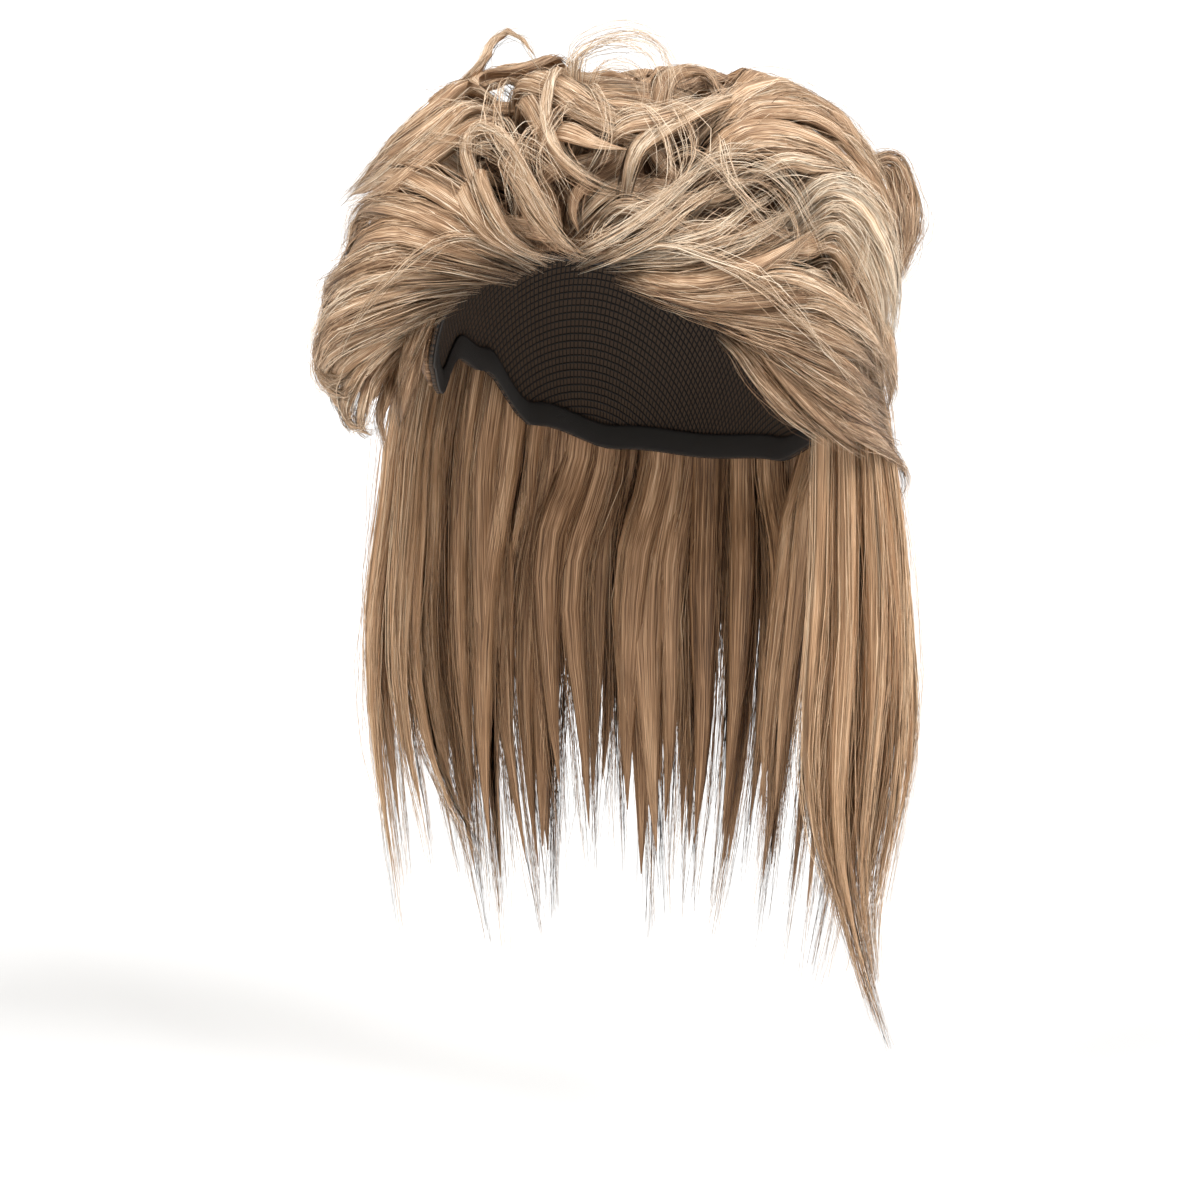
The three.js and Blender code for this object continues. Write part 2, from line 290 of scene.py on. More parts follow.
def closed_tubes(centre, side, out, wide, thick, tone, across, shape=1.0, lean=None):
    """Closed tapering tubes. centre, side and out are (tubes, rings, 3), wide and thick (tubes, rings),
    tone (tubes,), across (sides + 1,) is how far each corner's tone is from the tube's, and shape
    makes the corners' distances larger or smaller. A UV's y runs from root to tip. With lean
    (tubes, 1), a tube's normals point outward and lean sideways by that much, and where lean is below
    0 they are left as they are."""
    tubes, rings = centre.shape[:2]
    sides = len(across) - 1
    angle = np.linspace(0, 2 * np.pi, sides, endpoint=False) + np.pi / 2
    points = (
        centre[:, :, None]
        + side[:, :, None] * (shape * wide[..., None] * np.cos(angle))[..., None]
        + out[:, :, None] * (shape * thick[..., None] * np.sin(angle))[..., None]
    )
    points = kept_outside(points).reshape(-1, 3)
    normals = None
    if lean is not None:
        normals = unit(out[:, :, None] + side[:, :, None] * (lean * np.cos(angle))[:, None, :, None])
        normals = (normals * (lean >= 0)[..., None, None]).reshape(-1, 3)
    number = np.arange(tubes * rings * sides).reshape(tubes, rings, sides)
    here, along = number[:, :-1], number[:, 1:]
    quads = np.stack([along, np.roll(along, -1, 2), np.roll(here, -1, 2), here], -1).reshape(-1, 4)
    u = tone[:, None, None] + across
    v = np.broadcast_to(np.linspace(*TUBE_UV, rings)[None, :, None], (tubes, rings, sides + 1))
    uv = np.stack([np.broadcast_to(u, v.shape), v], -1)
    a, b = uv[:, :-1, :-1], uv[:, :-1, 1:]
    c, d = uv[:, 1:, 1:], uv[:, 1:, :-1]
    quad_uv = np.stack([d, c, b, a], 3).reshape(-1, 4, 2)
    caps, cap_uv = [], []
    for k in range(1, sides - 1):
        caps += [number[:, 0, [0, k, k + 1]], number[:, -1, [0, k + 1, k]]]
        cap_uv += [uv[:, 0, [0, k, k + 1]], uv[:, -1, [0, k + 1, k]]]
    return part(points, quads, caps, quad_uv, cap_uv, normals)


def mesh_of(name, parts, material):
    """One mesh of several sets of closed tubes or shells."""
    points = np.concatenate([p["points"] for p in parts])
    normals = np.concatenate([p["normals"] for p in parts])
    starts = np.cumsum([0] + [len(p["points"]) for p in parts[:-1]])
    quads = np.concatenate([p["quads"] + s for p, s in zip(parts, starts)])
    caps = np.concatenate([p["caps"] + s for p, s in zip(parts, starts)])
    uv = np.concatenate([p[faces].reshape(-1, 2) for faces in ("quad_uv", "cap_uv") for p in parts])
    mesh = bpy.data.meshes.new(name)
    mesh.vertices.add(len(points))
    mesh.vertices.foreach_set("co", (points * MM).astype(np.float32).ravel())
    corners = np.concatenate([quads.ravel(), caps.ravel()])
    mesh.loops.add(len(corners))
    mesh.loops.foreach_set("vertex_index", corners.astype(np.int32))
    totals = np.concatenate([np.full(len(quads), 4), np.full(len(caps), 3)])
    mesh.polygons.add(len(totals))
    mesh.polygons.foreach_set("loop_start", (np.cumsum(totals) - totals).astype(np.int32))
    mesh.polygons.foreach_set("loop_total", totals.astype(np.int32))
    mesh.polygons.foreach_set("use_smooth", np.ones(len(totals), bool))
    layer = mesh.uv_layers.new(name="OFBake")
    layer.data.foreach_set("uv", uv.astype(np.float32).ravel())
    mesh.update(calc_edges=True)
    mesh.validate()
    mesh.normals_split_custom_set_from_vertices(normals.astype(np.float32))
    mesh.materials.append(material)
    piece = bpy.data.objects.new(name, mesh)
    bpy.context.scene.collection.objects.link(piece)
    return piece


def stand_for(piece, node):
    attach(piece, "root")
    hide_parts(node)


# Strands

# How hair lies. A strand has rings along it, a half width and a half thickness, waves as pairs of
# height and length, and short is how much of its length may be missing. loose_lean is the lean of a
# loose strand's normals. A core has rings too, and core_shape has the share of the lock's width that
# it takes up at shares of the lock's length.
WAVED = {
    "rings": 11,
    "hair": (0.24, 0.12),
    "waves": ((0.8, 75), (0.3, 26)),
    "short": 0.2,
    "loose_lean": 0.5,
    "core_rings": 16,
    "core_shape": ([0, 0.12, 0.32, 0.6, 0.8, 0.92], [0.1, 0.45, 0.82, 0.82, 0.5, 0.04]),
}
STRAIGHT = {
    "rings": 8,
    "hair": (0.26, 0.13),
    "waves": ((1.2, 170), (0.3, 60)),
    "short": 0.3,
    "loose_lean": -1.0,
    "core_rings": 13,
    "core_shape": ([0, 0.06, 0.15, 0.5, 0.75, 0.88], [0.3, 0.7, 0.85, 0.85, 0.45, 0.04]),
}

# A lock widens from its root to WIDEST of its length, and narrows from there to its tip
WIDEST = 0.45
WIDEN_POWER = 0.8
NARROW_POWER = 1.5

# A strand's place round its lock: its clump's turn and its own spread, in half turns, and its reach
# from the middle as a share of the lock's size. A share of the strands are flyaways.
CLUMPS = 9
CLUMP_TURN = 0.9
CLUMP_SPREAD = 0.08
HAIR_REACH = (0.76, 1.1)
FLYAWAYS = 0.18
FLYAWAY_REACH = (1.1, 1.8)
FLYAWAY_LOOSE = 3.0

# Its place along the lock: how late it may start, how rare a short one is, and how far its rings may
# be moved, as a share of their spacing
LAST_START = 0.08
SHORT_POWER = 1.5
RING_SHIFT = 0.4

# Its waves: the spread of their phase and their pace, and the share of their height at the root
WAVE_PHASE_SPREAD = 0.9
WAVE_PACE = (0.85, 1.2)
ROOT_WAVE = 0.25

# Its thickness: the taper at shares of its length, how much it varies, and how fine loose hair is.
# HAIR_LEAN is the lean of its normals where it isn't loose.
TAPER = ([0, 0.1, 0.7, 1], [0.6, 1, 0.8, 0.2])
HAIR_SIZES = (0.5, 1.2)
LOOSE_SIZE = 0.75
HAIR_LEAN = 0.5

# A lock's core: its sides, its grooves as pairs of how many go round it and how deep they are, and
# how far a groove may wind round it on its way, in radians. Its tone goes up and down round it by
# CORE_CONTRAST, in as many corners as CORE_STRIPE.
CORE_SIDES = 12
CORE_GROOVES = ((2, 0.08), (3, 0.1), (4, 0.08))
GROOVE_WIND = 3
CORE_CONTRAST = 0.1
CORE_STRIPE = 3
CORE_ACROSS = CORE_CONTRAST * np.abs(np.arange(CORE_SIDES + 1) / CORE_STRIPE % 2 - 1)

# Tones run from dark to light: the middle one, the step for each unit of a lock's own tone, the
# spread, and the limits. HAIR_ACROSS is how far the tones of a strand's corners are from its own.
CORE_TONE = {"middle": 0.43, "step": 0.14, "spread": 0.03, "limits": (0.02, 0.86)}
HAIR_TONE = {"middle": 0.5, "step": 0.15, "spread": 0.13, "limits": (0.02, 0.96)}
HAIR_ACROSS = np.array([0, 0.004, 0.008, 0.0])
CLUMP_TONE_SPREAD = 0.09
LOOSE_TONE = 0.07


def spread_along(guides, u):
    """How wide each guide's lock is at its shares u of the length, as a share of its own width."""
    root, tip = (np.array([g[key] for g in guides])[:, None] for key in ("root", "tip"))
    rise = np.clip(u / WIDEST, 0, 1) ** WIDEN_POWER
    fall = np.clip((u - WIDEST) / (1 - WIDEST), 0, 1) ** NARROW_POWER
    return (root + (1 - root) * rise) * (1 + (tip - 1) * fall)


def toned(kind, own, rng, more=0.0):
    """The tones of cores or strands whose locks' own tones are given."""
    tone = kind["middle"] + kind["step"] * own + more + rng.normal(0, kind["spread"], len(own))
    return np.clip(tone, *kind["limits"])


def cores(guides, rng, style):
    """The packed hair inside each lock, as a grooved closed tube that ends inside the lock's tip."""
    guides = [g for g in guides if g["core"]]
    centre = np.stack([g["centre"] for g in guides])
    side, out = frames_along(centre)
    step = (np.linspace(0, 1, style["core_rings"]) * (STEPS_ALONG - 1)).astype(int)
    shares, sizes = style["core_shape"]
    u = np.stack([places_along(g["centre"])[step] for g in guides]) * shares[-1]
    line, s, o = (lines_at(lines, u) for lines in (centre, unit(side), unit(out)))
    size = spread_along(guides, u) * np.interp(u, shares, sizes)
    wide, thick = (np.array([g[key] for g in guides])[:, None] * size for key in ("wide", "thick"))
    angle = np.linspace(0, 2 * np.pi, CORE_SIDES, endpoint=False)
    shape = 1.0
    for count, depth in CORE_GROOVES:
        phase = rng.uniform(0, 2 * np.pi, (len(guides), 1, 1))
        phase = phase + rng.uniform(-GROOVE_WIND, GROOVE_WIND, (len(guides), 1, 1)) * u[..., None]
        shape = shape + depth * np.sin(count * angle + phase)
    tone = toned(CORE_TONE, np.array([g["tone"] for g in guides]), rng)
    return closed_tubes(kept_outside(line), s, o, wide, thick, tone, CORE_ACROSS, shape)


def strands(guides, rng, total, style):
    """A piece's single strands of hair, over its locks' cores, as closed tubes of three sides."""
    shares = np.cumsum([g["weight"] for g in guides])
    which = np.searchsorted(shares / shares[-1], (np.arange(total) + 0.5) / total)
    own = [guides[k] for k in which]
    centre = np.stack([g["centre"] for g in guides])
    side, out = (unit(lines)[which] for lines in frames_along(centre))

    def each(key):
        return np.array([g[key] for g in own], float)[:, None]

    def drawn(low, high):
        return rng.uniform(low, high, (total, 1))

    clump = rng.integers(0, CLUMPS, total)
    clump_turn = rng.uniform(-CLUMP_TURN, CLUMP_TURN, (len(guides), CLUMPS))[which, clump]
    flying = (rng.random(total) < FLYAWAYS)[:, None]
    around = np.pi / 2 + np.pi * (clump_turn + rng.normal(0, CLUMP_SPREAD, total))
    reach = drawn(*HAIR_REACH)
    reach = np.where(each("core") > 0, reach, np.sqrt(drawn(0, 1)))
    reach = np.where(flying, drawn(*FLYAWAY_REACH), reach)

    rings = style["rings"]
    start = drawn(0, LAST_START)
    end = 1 - style["short"] * drawn(0, 1) ** SHORT_POWER
    steps = np.linspace(0, 1, rings) + np.zeros((total, 1))
    steps[:, 1:-1] += drawn(-RING_SHIFT, RING_SHIFT) / (rings - 1)
    along = np.stack([places_along(g["centre"]) for g in guides])
    u = start + (end - start) * along[which[:, None], (steps * (STEPS_ALONG - 1)).astype(int)]
    line, s, o = (lines_at(lines, u) for lines in (centre[which], side, out))

    loose = each("loose") * np.where(flying, FLYAWAY_LOOSE, 1.0)
    length = np.linalg.norm(np.diff(centre, axis=1), axis=2).sum(1)[which][:, None]
    wave = np.zeros((2, total, rings))
    for height, wavelength in style["waves"]:
        phase = rng.uniform(0, 2 * np.pi, (2, len(guides), CLUMPS))[:, which, clump, None]
        phase = phase + rng.normal(0, WAVE_PHASE_SPREAD, (2, total, 1))
        pace = 2 * np.pi * length / wavelength * drawn(*WAVE_PACE)
        wave += height * np.sin(pace * u + phase) * loose * (ROOT_WAVE + (1 - ROOT_WAVE) * u)

    spread = spread_along(own, u) * reach
    angle = around[:, None] + np.radians(each("twist")) * u
    a, b = np.cos(angle), np.sin(angle)
    line = line + s * (a * each("wide") * spread + wave[0])[..., None]
    line = line + o * (b * each("thick") * spread + wave[1])[..., None]
    loose_hair = flying | (each("core") == 0)
    facing = np.stack([np.where(loose_hair, 0, a / each("wide")), np.where(loose_hair, 1, b / each("thick"))])
    facing = unit(np.moveaxis(facing, 0, -1))
    s, o = s * facing[..., 1:] - o * facing[..., :1], s * facing[..., :1] + o * facing[..., 1:]

    taper = np.interp(np.linspace(0, 1, rings), *TAPER)
    half = np.array(style["hair"]) * drawn(*HAIR_SIZES) * np.where(loose_hair, LOOSE_SIZE, 1)
    clump_tone = rng.normal(0, CLUMP_TONE_SPREAD, (len(guides), CLUMPS))[which, clump]
    tone = toned(HAIR_TONE, each("tone")[:, 0], rng, clump_tone + LOOSE_TONE * loose_hair[:, 0])
    lean = np.where(loose_hair, style["loose_lean"], HAIR_LEAN)
    wide, thick = half[:, :1] * taper, half[:, 1:] * taper
    return closed_tubes(kept_outside(line), s, o, wide, thick, tone, HAIR_ACROSS, lean=lean)


# The locks that show in the picture, piece by piece: half the width and half the thickness, the share
# of the piece's strands, the tone, and points. x and y are where a point shows, in the picture's
# pixels, and the third number is its height over the head. A lock below LIGHT_LOCK has no core.

SEEN_LOCKS = {}
SEEN_LOCKS["crown_hair"] = [
    # The arch at the top left, and the outline down from it
    (3.5, 2.5, 60, 0.6, [(446, 148, 42), (434, 126, 45), (444, 104, 46), (463, 86, 47), (482, 66, 50),
        (490, 45, 54), (510, 31, 56), (530, 48, 50), (542, 76, 42)]),
    (6, 4, 80, 0.3, [(505, 76, 40), (470, 88, 45), (440, 105, 48), (408, 130, 50), (380, 158, 49),
        (358, 186, 47), (338, 208, 46)]),
    (8, 4, 90, 0.3, [(510, 95, 38), (470, 110, 44), (436, 134, 47), (404, 160, 49), (376, 182, 49),
        (340, 200, 48)]),
    (7, 4, 80, -0.2, [(500, 98, 38), (464, 110, 45), (426, 132, 49), (394, 154, 50), (368, 174, 49),
        (346, 198, 47)]),
    (7, 4, 80, 0.0, [(524, 112, 38), (490, 122, 42), (452, 142, 46), (420, 166, 48), (390, 188, 50),
        (350, 206, 49)]),
    # The bright bent lock over the forehead's right side
    (3.5, 3, 80, 1.2, [(500, 238, 30), (484, 205, 38), (470, 172, 43), (466, 146, 46), (478, 128, 47),
        (496, 131, 47), (512, 148, 46), (526, 172, 44), (543, 205, 40), (560, 236, 33), (582, 256, 24)]),
    (3.5, 3, 70, 0.6, [(474, 145, 44), (480, 175, 43), (490, 205, 40), (508, 234, 33), (534, 254, 24),
        (566, 262, 18)]),
    (5, 3, 80, 0.3, [(496, 138, 43), (510, 160, 42), (528, 190, 40), (546, 222, 35), (568, 248, 26),
        (596, 258, 18)]),
    (5, 3, 70, -0.2, [(456, 160, 42), (462, 190, 41), (476, 218, 37), (500, 244, 28), (540, 262, 17)]),
    # Across the crown
    (8, 4, 110, 0.3, [(496, 92, 38), (528, 84, 42), (561, 90, 44), (600, 112, 43), (636, 126, 42),
        (672, 130, 40)]),
    (7, 4, 100, -0.1, [(520, 82, 38), (550, 92, 42), (586, 116, 42), (622, 136, 41), (652, 142, 39)]),
    (5, 3, 80, 0.2, [(487, 116, 38), (526, 102, 42), (544, 128, 43), (562, 160, 42), (596, 188, 39),
        (628, 196, 35)]),
    (2.5, 2, 50, 1.3, [(582, 50, 46), (558, 72, 47), (545, 100, 48), (546, 130, 47), (562, 158, 46),
        (592, 180, 43), (631, 196, 38)]),
    (6, 3, 80, 0.1, [(540, 120, 38), (562, 132, 41), (600, 144, 41), (640, 152, 39)]),
    (8, 4, 100, -0.1, [(552, 104, 32), (590, 96, 34), (628, 94, 33), (664, 100, 32), (700, 112, 33),
        (728, 132, 34)]),
    (7, 4, 90, 0.2, [(560, 120, 32), (600, 112, 33), (640, 112, 33), (676, 118, 34), (706, 134, 35)]),
    (6, 4, 80, 0.0, [(530, 88, 34), (566, 84, 36), (600, 86, 34), (640, 88, 32), (680, 92, 31),
        (712, 104, 31)]),
    (4, 3, 45, 0.4, [(570, 92, 38), (577, 70, 43), (590, 50, 48), (614, 38, 53), (644, 38, 54),
        (664, 54, 48), (672, 80, 42), (668, 108, 34)]),
    (4, 3, 36, 0.4, [(560, 76, 40), (572, 54, 46), (590, 36, 52), (616, 27, 55), (644, 30, 55),
        (668, 50, 49), (684, 84, 40), (690, 110, 34)]),
    (5, 4, 45, 0.7, [(566, 100, 36), (576, 74, 42), (590, 58, 46), (612, 50, 49), (636, 52, 50),
        (654, 68, 46), (660, 92, 40), (652, 116, 34)]),
    (6, 4, 45, 0.5, [(576, 106, 36), (588, 80, 41), (604, 66, 44), (624, 64, 45), (642, 74, 43),
        (648, 96, 38), (638, 118, 34)]),
    (5, 3, 70, -0.4, [(655, 112, 36), (664, 84, 38), (690, 71, 39), (712, 78, 38), (722, 100, 36)]),
    (5, 3, 80, 1.2, [(618, 182, 32), (634, 154, 38), (662, 128, 42), (696, 110, 43), (730, 100, 43),
        (764, 98, 40)]),
    (5, 3, 60, 0.6, [(580, 138, 38), (620, 130, 42), (660, 120, 43), (700, 106, 43), (728, 92, 42)]),
    (7, 4, 100, 0.5, [(706, 124, 38), (730, 106, 42), (758, 92, 45), (786, 88, 46), (804, 98, 44),
        (810, 122, 40)]),
    (8, 4, 100, 0.2, [(716, 116, 38), (752, 97, 43), (786, 92, 46), (816, 104, 48), (846, 126, 49),
        (872, 154, 49), (892, 192, 47)]),
    (9, 4, 120, 0.3, [(700, 140, 38), (736, 118, 42), (772, 108, 45), (812, 116, 48), (844, 138, 50),
        (868, 168, 49), (882, 204, 47), (886, 238, 44)]),
    (9, 4, 120, 0.0, [(690, 158, 36), (726, 140, 40), (768, 130, 44), (808, 140, 47), (840, 160, 48),
        (866, 192, 48), (884, 232, 46), (888, 272, 40)]),
    (8, 4, 100, 0.2, [(700, 154, 36), (742, 146, 41), (784, 146, 44), (822, 154, 46), (854, 174, 47),
        (880, 208, 46), (894, 250, 42), (896, 290, 36)]),
    (4.5, 3, 48, 1.3, [(664, 176, 36), (704, 166, 41), (742, 160, 45), (770, 168, 47), (796, 192, 47),
        (812, 226, 45), (826, 260, 40)]),
    (4, 3, 42, 0.8, [(686, 205, 30), (724, 183, 37), (762, 184, 42), (786, 208, 42), (796, 246, 40),
        (776, 276, 35)]),
    (5, 3, 60, 0.9, [(740, 160, 40), (776, 162, 44), (812, 166, 46), (846, 172, 47), (870, 192, 45),
        (884, 222, 42)]),
    (5, 4, 80, 0.1, [(800, 122, 44), (832, 138, 47), (860, 160, 49), (880, 188, 50), (892, 218, 50),
        (894, 248, 47)]),
    (7, 4, 80, 0.2, [(690, 130, 34), (724, 114, 36), (760, 106, 38), (796, 110, 40), (826, 126, 41),
        (852, 150, 41), (870, 180, 41)]),
    # Loose hairs that cross the rest
    (4, 2, 36, 0.6, [(448, 176, 44), (470, 150, 47), (500, 140, 48), (534, 150, 47), (560, 176, 44),
        (580, 206, 40)]),
    (4, 2, 36, 0.4, [(520, 60, 44), (500, 84, 47), (492, 116, 48), (500, 150, 47), (524, 184, 44),
        (556, 212, 39)]),
    (3, 2, 36, 0.8, [(560, 110, 44), (536, 128, 46), (516, 156, 46), (508, 188, 43), (516, 220, 37)]),
    (3, 2, 36, 0.6, [(600, 96, 43), (572, 108, 46), (548, 136, 46), (540, 170, 44), (552, 204, 40)]),
    (4, 2, 36, 0.7, [(640, 92, 42), (672, 108, 45), (690, 140, 45), (684, 176, 42), (656, 204, 37)]),
    (4, 2, 36, 0.5, [(380, 150, 48), (416, 140, 49), (456, 142, 48), (494, 158, 46), (522, 186, 42)]),
    (3, 2, 24, 0.6, [(470, 110, 42), (500, 120, 46), (520, 150, 46), (532, 190, 43), (560, 225, 38)]),
    (3, 2, 24, 0.4, [(560, 66, 44), (590, 86, 47), (606, 120, 46), (600, 156, 44), (580, 186, 41)]),
    (3, 2, 24, 0.8, [(600, 80, 42), (640, 104, 46), (668, 140, 45), (672, 180, 42), (650, 215, 36)]),
    (3, 2, 24, 0.6, [(740, 100, 44), (724, 140, 46), (732, 180, 46), (760, 210, 44), (800, 220, 42)]),
    (3, 2, 24, 0.9, [(640, 150, 40), (690, 150, 44), (740, 190, 45), (770, 230, 42), (810, 250, 40)]),
]
SEEN_LOCKS["side_hair_left"] = [
    # The right side, and the loop that stands out of it
    (8, 4, 150, 2.0, [(794, 204, 36), (816, 188, 43), (842, 188, 47), (866, 206, 49), (884, 240, 48),
        (893, 280, 42), (893, 320, 35), (886, 352, 30)]),
    (8, 4, 140, 1.7, [(800, 212, 34), (824, 202, 41), (848, 212, 44), (868, 240, 43), (880, 276, 41),
        (885, 316, 35), (880, 356, 29)]),
    (8, 4, 130, 1.2, [(802, 226, 33), (828, 222, 39), (850, 240, 40), (866, 270, 39), (875, 306, 35),
        (878, 344, 30), (880, 376, 28)]),
    (8, 4, 110, 0.4, [(800, 244, 31), (826, 246, 36), (846, 266, 36), (860, 296, 34), (870, 330, 31),
        (876, 366, 28), (884, 396, 26)]),
    # The locks inside the loop are toned darker: painted shade
    (5.5, 4, 100, -0.3, [(866, 144, 42), (888, 158, 46), (904, 182, 49), (911, 212, 50), (909, 242, 48),
        (900, 266, 45), (886, 290, 40)]),
    (7, 4, 90, -0.9, [(866, 146, 42), (886, 172, 45), (898, 204, 47), (902, 238, 47), (899, 270, 44),
        (890, 300, 39)]),
    (6, 4, 80, -0.7, [(876, 190, 38), (892, 210, 42), (902, 240, 43), (898, 272, 40), (890, 300, 36)]),
    (8, 4, 100, -0.1, [(820, 250, 32), (846, 262, 36), (866, 292, 35), (876, 328, 31), (878, 364, 28),
        (886, 396, 26)]),
    (6, 4, 80, 0.2, [(880, 296, 34), (880, 328, 31), (888, 356, 30), (892, 388, 28), (886, 420, 26)]),
    # Loose hairs that cross the rest
    (3, 2, 24, 0.9, [(800, 140, 46), (840, 160, 49), (862, 200, 49), (866, 250, 46), (850, 300, 42)]),
]
SEEN_LOCKS["fringe_left"] = [
    # Swept from the hairline to the wearer's left
    (3, 2, 36, 0.8, [(560, 250, 18), (596, 246, 24), (634, 224, 31), (672, 194, 37), (706, 166, 41),
        (738, 144, 42)]),
    (3, 2, 36, 0.6, [(572, 262, 14), (612, 256, 22), (652, 236, 30), (692, 206, 37), (732, 184, 42),
        (770, 176, 44)]),
    (3, 2, 30, 0.6, [(582, 218, 18), (616, 206, 24), (652, 212, 27), (690, 232, 27), (726, 246, 28)]),
    (6, 3, 48, 0.6, [(604, 258, 13), (640, 264, 19), (680, 262, 27), (728, 252, 34), (770, 232, 40),
        (800, 206, 43)]),
    (6, 3, 90, -0.6, [(618, 262, 13), (652, 278, 19), (700, 280, 27), (748, 268, 34), (790, 246, 40),
        (818, 226, 43)]),
    (5, 3, 34, 0.8, [(630, 240, 20), (672, 242, 28), (714, 230, 35), (750, 208, 40), (780, 190, 43)]),
    (7, 3, 100, -0.5, [(618, 262, 12), (652, 282, 18), (700, 296, 25), (748, 294, 32), (796, 290, 38),
        (838, 300, 39), (870, 328, 36)]),
    (6, 3, 100, -0.2, [(640, 274, 12), (690, 300, 18), (744, 312, 26), (798, 320, 34), (846, 342, 36),
        (884, 376, 31)]),
    (6, 3, 100, -0.9, [(664, 284, 12), (712, 306, 18), (760, 326, 26), (804, 344, 31), (850, 372, 33),
        (888, 408, 29)]),
    (6, 3, 100, -0.5, [(690, 292, 12), (734, 314, 18), (776, 338, 24), (818, 366, 29), (856, 394, 31),
        (890, 424, 29)]),
    (6, 3, 90, -1.0, [(712, 300, 12), (748, 322, 17), (786, 354, 22), (826, 386, 27), (862, 412, 29),
        (896, 442, 28)]),
    (5, 3, 90, -0.3, [(736, 312, 12), (768, 346, 16), (800, 382, 21), (838, 414, 26), (874, 438, 28),
        (900, 464, 29), (908, 488, 28), (896, 506, 22)]),
    (5, 3, 90, -0.8, [(722, 304, 11), (746, 330, 14), (774, 364, 18), (804, 398, 22), (836, 430, 25),
        (866, 456, 26)]),
    (5, 3, 80, -0.7, [(726, 326, 10), (742, 348, 12), (760, 372, 14), (780, 397, 16), (802, 420, 18),
        (830, 444, 21)]),
    (4, 2.5, 60, 0.9, [(768, 294, 33), (806, 300, 38), (842, 314, 39), (872, 338, 37), (892, 370, 32)]),
    (5, 3, 70, 0.3, [(730, 276, 32), (776, 276, 38), (820, 290, 40), (856, 316, 39), (884, 352, 34)]),
    # Loose hairs that cross the rest
    (3, 2, 24, 0.7, [(600, 252, 18), (660, 244, 30), (720, 262, 36), (780, 300, 38), (830, 352, 38),
        (872, 410, 34)]),
]
SEEN_LOCKS["fringe_right"] = [
    # Swept from the hairline to the wearer's right
    (6, 3, 80, 0.3, [(540, 256, 14), (505, 238, 27), (470, 213, 38), (435, 189, 46), (400, 174, 50),
        (368, 180, 50), (346, 196, 48)]),
    (7, 4, 100, 0.2, [(530, 260, 12), (490, 246, 26), (452, 226, 38), (415, 209, 46), (382, 204, 50),
        (360, 212, 50), (350, 232, 49), (346, 252, 47)]),
    (7, 4, 100, -0.3, [(515, 264, 12), (475, 254, 26), (435, 240, 38), (400, 232, 46), (368, 238, 50),
        (350, 256, 49), (342, 274, 48), (344, 292, 45)]),
    (6, 4, 100, -0.7, [(500, 268, 10), (460, 264, 24), (420, 256, 37), (384, 256, 46), (352, 268, 50),
        (332, 284, 49), (327, 304, 47), (331, 324, 44)]),
    (6, 4, 100, 0.1, [(486, 272, 10), (446, 275, 24), (406, 272, 38), (368, 278, 47), (342, 292, 49),
        (328, 312, 48), (324, 334, 46), (330, 354, 43)]),
    (6, 4, 100, 0.5, [(470, 280, 10), (432, 288, 24), (394, 292, 38), (358, 300, 47), (334, 314, 49),
        (323, 336, 48), (321, 358, 46), (330, 376, 43), (344, 380, 40)]),
    (6, 4, 90, 0.0, [(456, 288, 10), (420, 304, 22), (384, 312, 36), (352, 320, 45), (332, 334, 48),
        (322, 354, 47), (324, 374, 45), (338, 384, 42), (352, 376, 39)]),
    (5, 4, 90, 0.6, [(444, 298, 10), (412, 318, 22), (378, 330, 34), (350, 340, 42), (331, 354, 45),
        (323, 374, 45), (331, 392, 43), (346, 396, 40), (356, 384, 37)]),
    (5, 3, 80, -0.7, [(452, 284, 9), (438, 298, 12), (424, 318, 15), (412, 342, 18), (402, 368, 20),
        (396, 396, 20)]),
    # Loose hairs that cross the rest
    (3, 2, 24, 0.7, [(520, 254, 22), (470, 236, 36), (420, 250, 44), (380, 290, 47), (350, 330, 47),
        (336, 366, 44)]),
]
SEEN_LOCKS["side_hair_right"] = [
    (5, 4, 80, 0.6, [(432, 308, 10), (404, 330, 20), (374, 344, 32), (350, 358, 39), (336, 378, 41),
        (335, 398, 40), (346, 410, 38), (360, 404, 35)]),
    (5, 4, 70, 0.7, [(424, 316, 10), (398, 340, 20), (372, 358, 30), (354, 380, 36), (345, 404, 38),
        (350, 424, 36), (362, 428, 34), (370, 416, 31)]),
    (5, 3, 60, 0.3, [(418, 326, 10), (396, 352, 18), (376, 376, 26), (364, 402, 32), (360, 424, 33),
        (368, 436, 31), (380, 430, 28)]),
    (5, 3, 60, -0.4, [(414, 340, 8), (400, 366, 13), (388, 392, 20), (380, 420, 24), (388, 452, 22)]),
    (5, 3, 80, -0.8, [(436, 306, 8), (426, 326, 10), (418, 350, 12), (410, 376, 14), (404, 402, 15),
        (400, 430, 14)]),
]
LIGHT_LOCK = 50
SEEN_TWIST = 60
SEEN_TIP = 0.25
LIGHT_LOOSE = 1.8

# A lock's root is sunk to this share of its height over the head, and no lower than ROOT_LEAST
ROOT_SHARE = 0.45
ROOT_LEAST = 4

# The locks of the wearer's right side that end below SWEPT_LOW in the picture stand well off the
# head, so more lie under each of them, at shares of its height and no lower than UNDER_LEAST. These
# are toned darker as painted shade under the lock above.
SWEPT_RIGHT = ("fringe_right", "side_hair_right")
SWEPT_LOW = 280
UNDER_LAYERS = (0.62, 0.3)
UNDER_LEAST = 6
UNDER_WIDER = 1.3
UNDER_WEIGHT = 24
UNDER_SHADE = 0.3


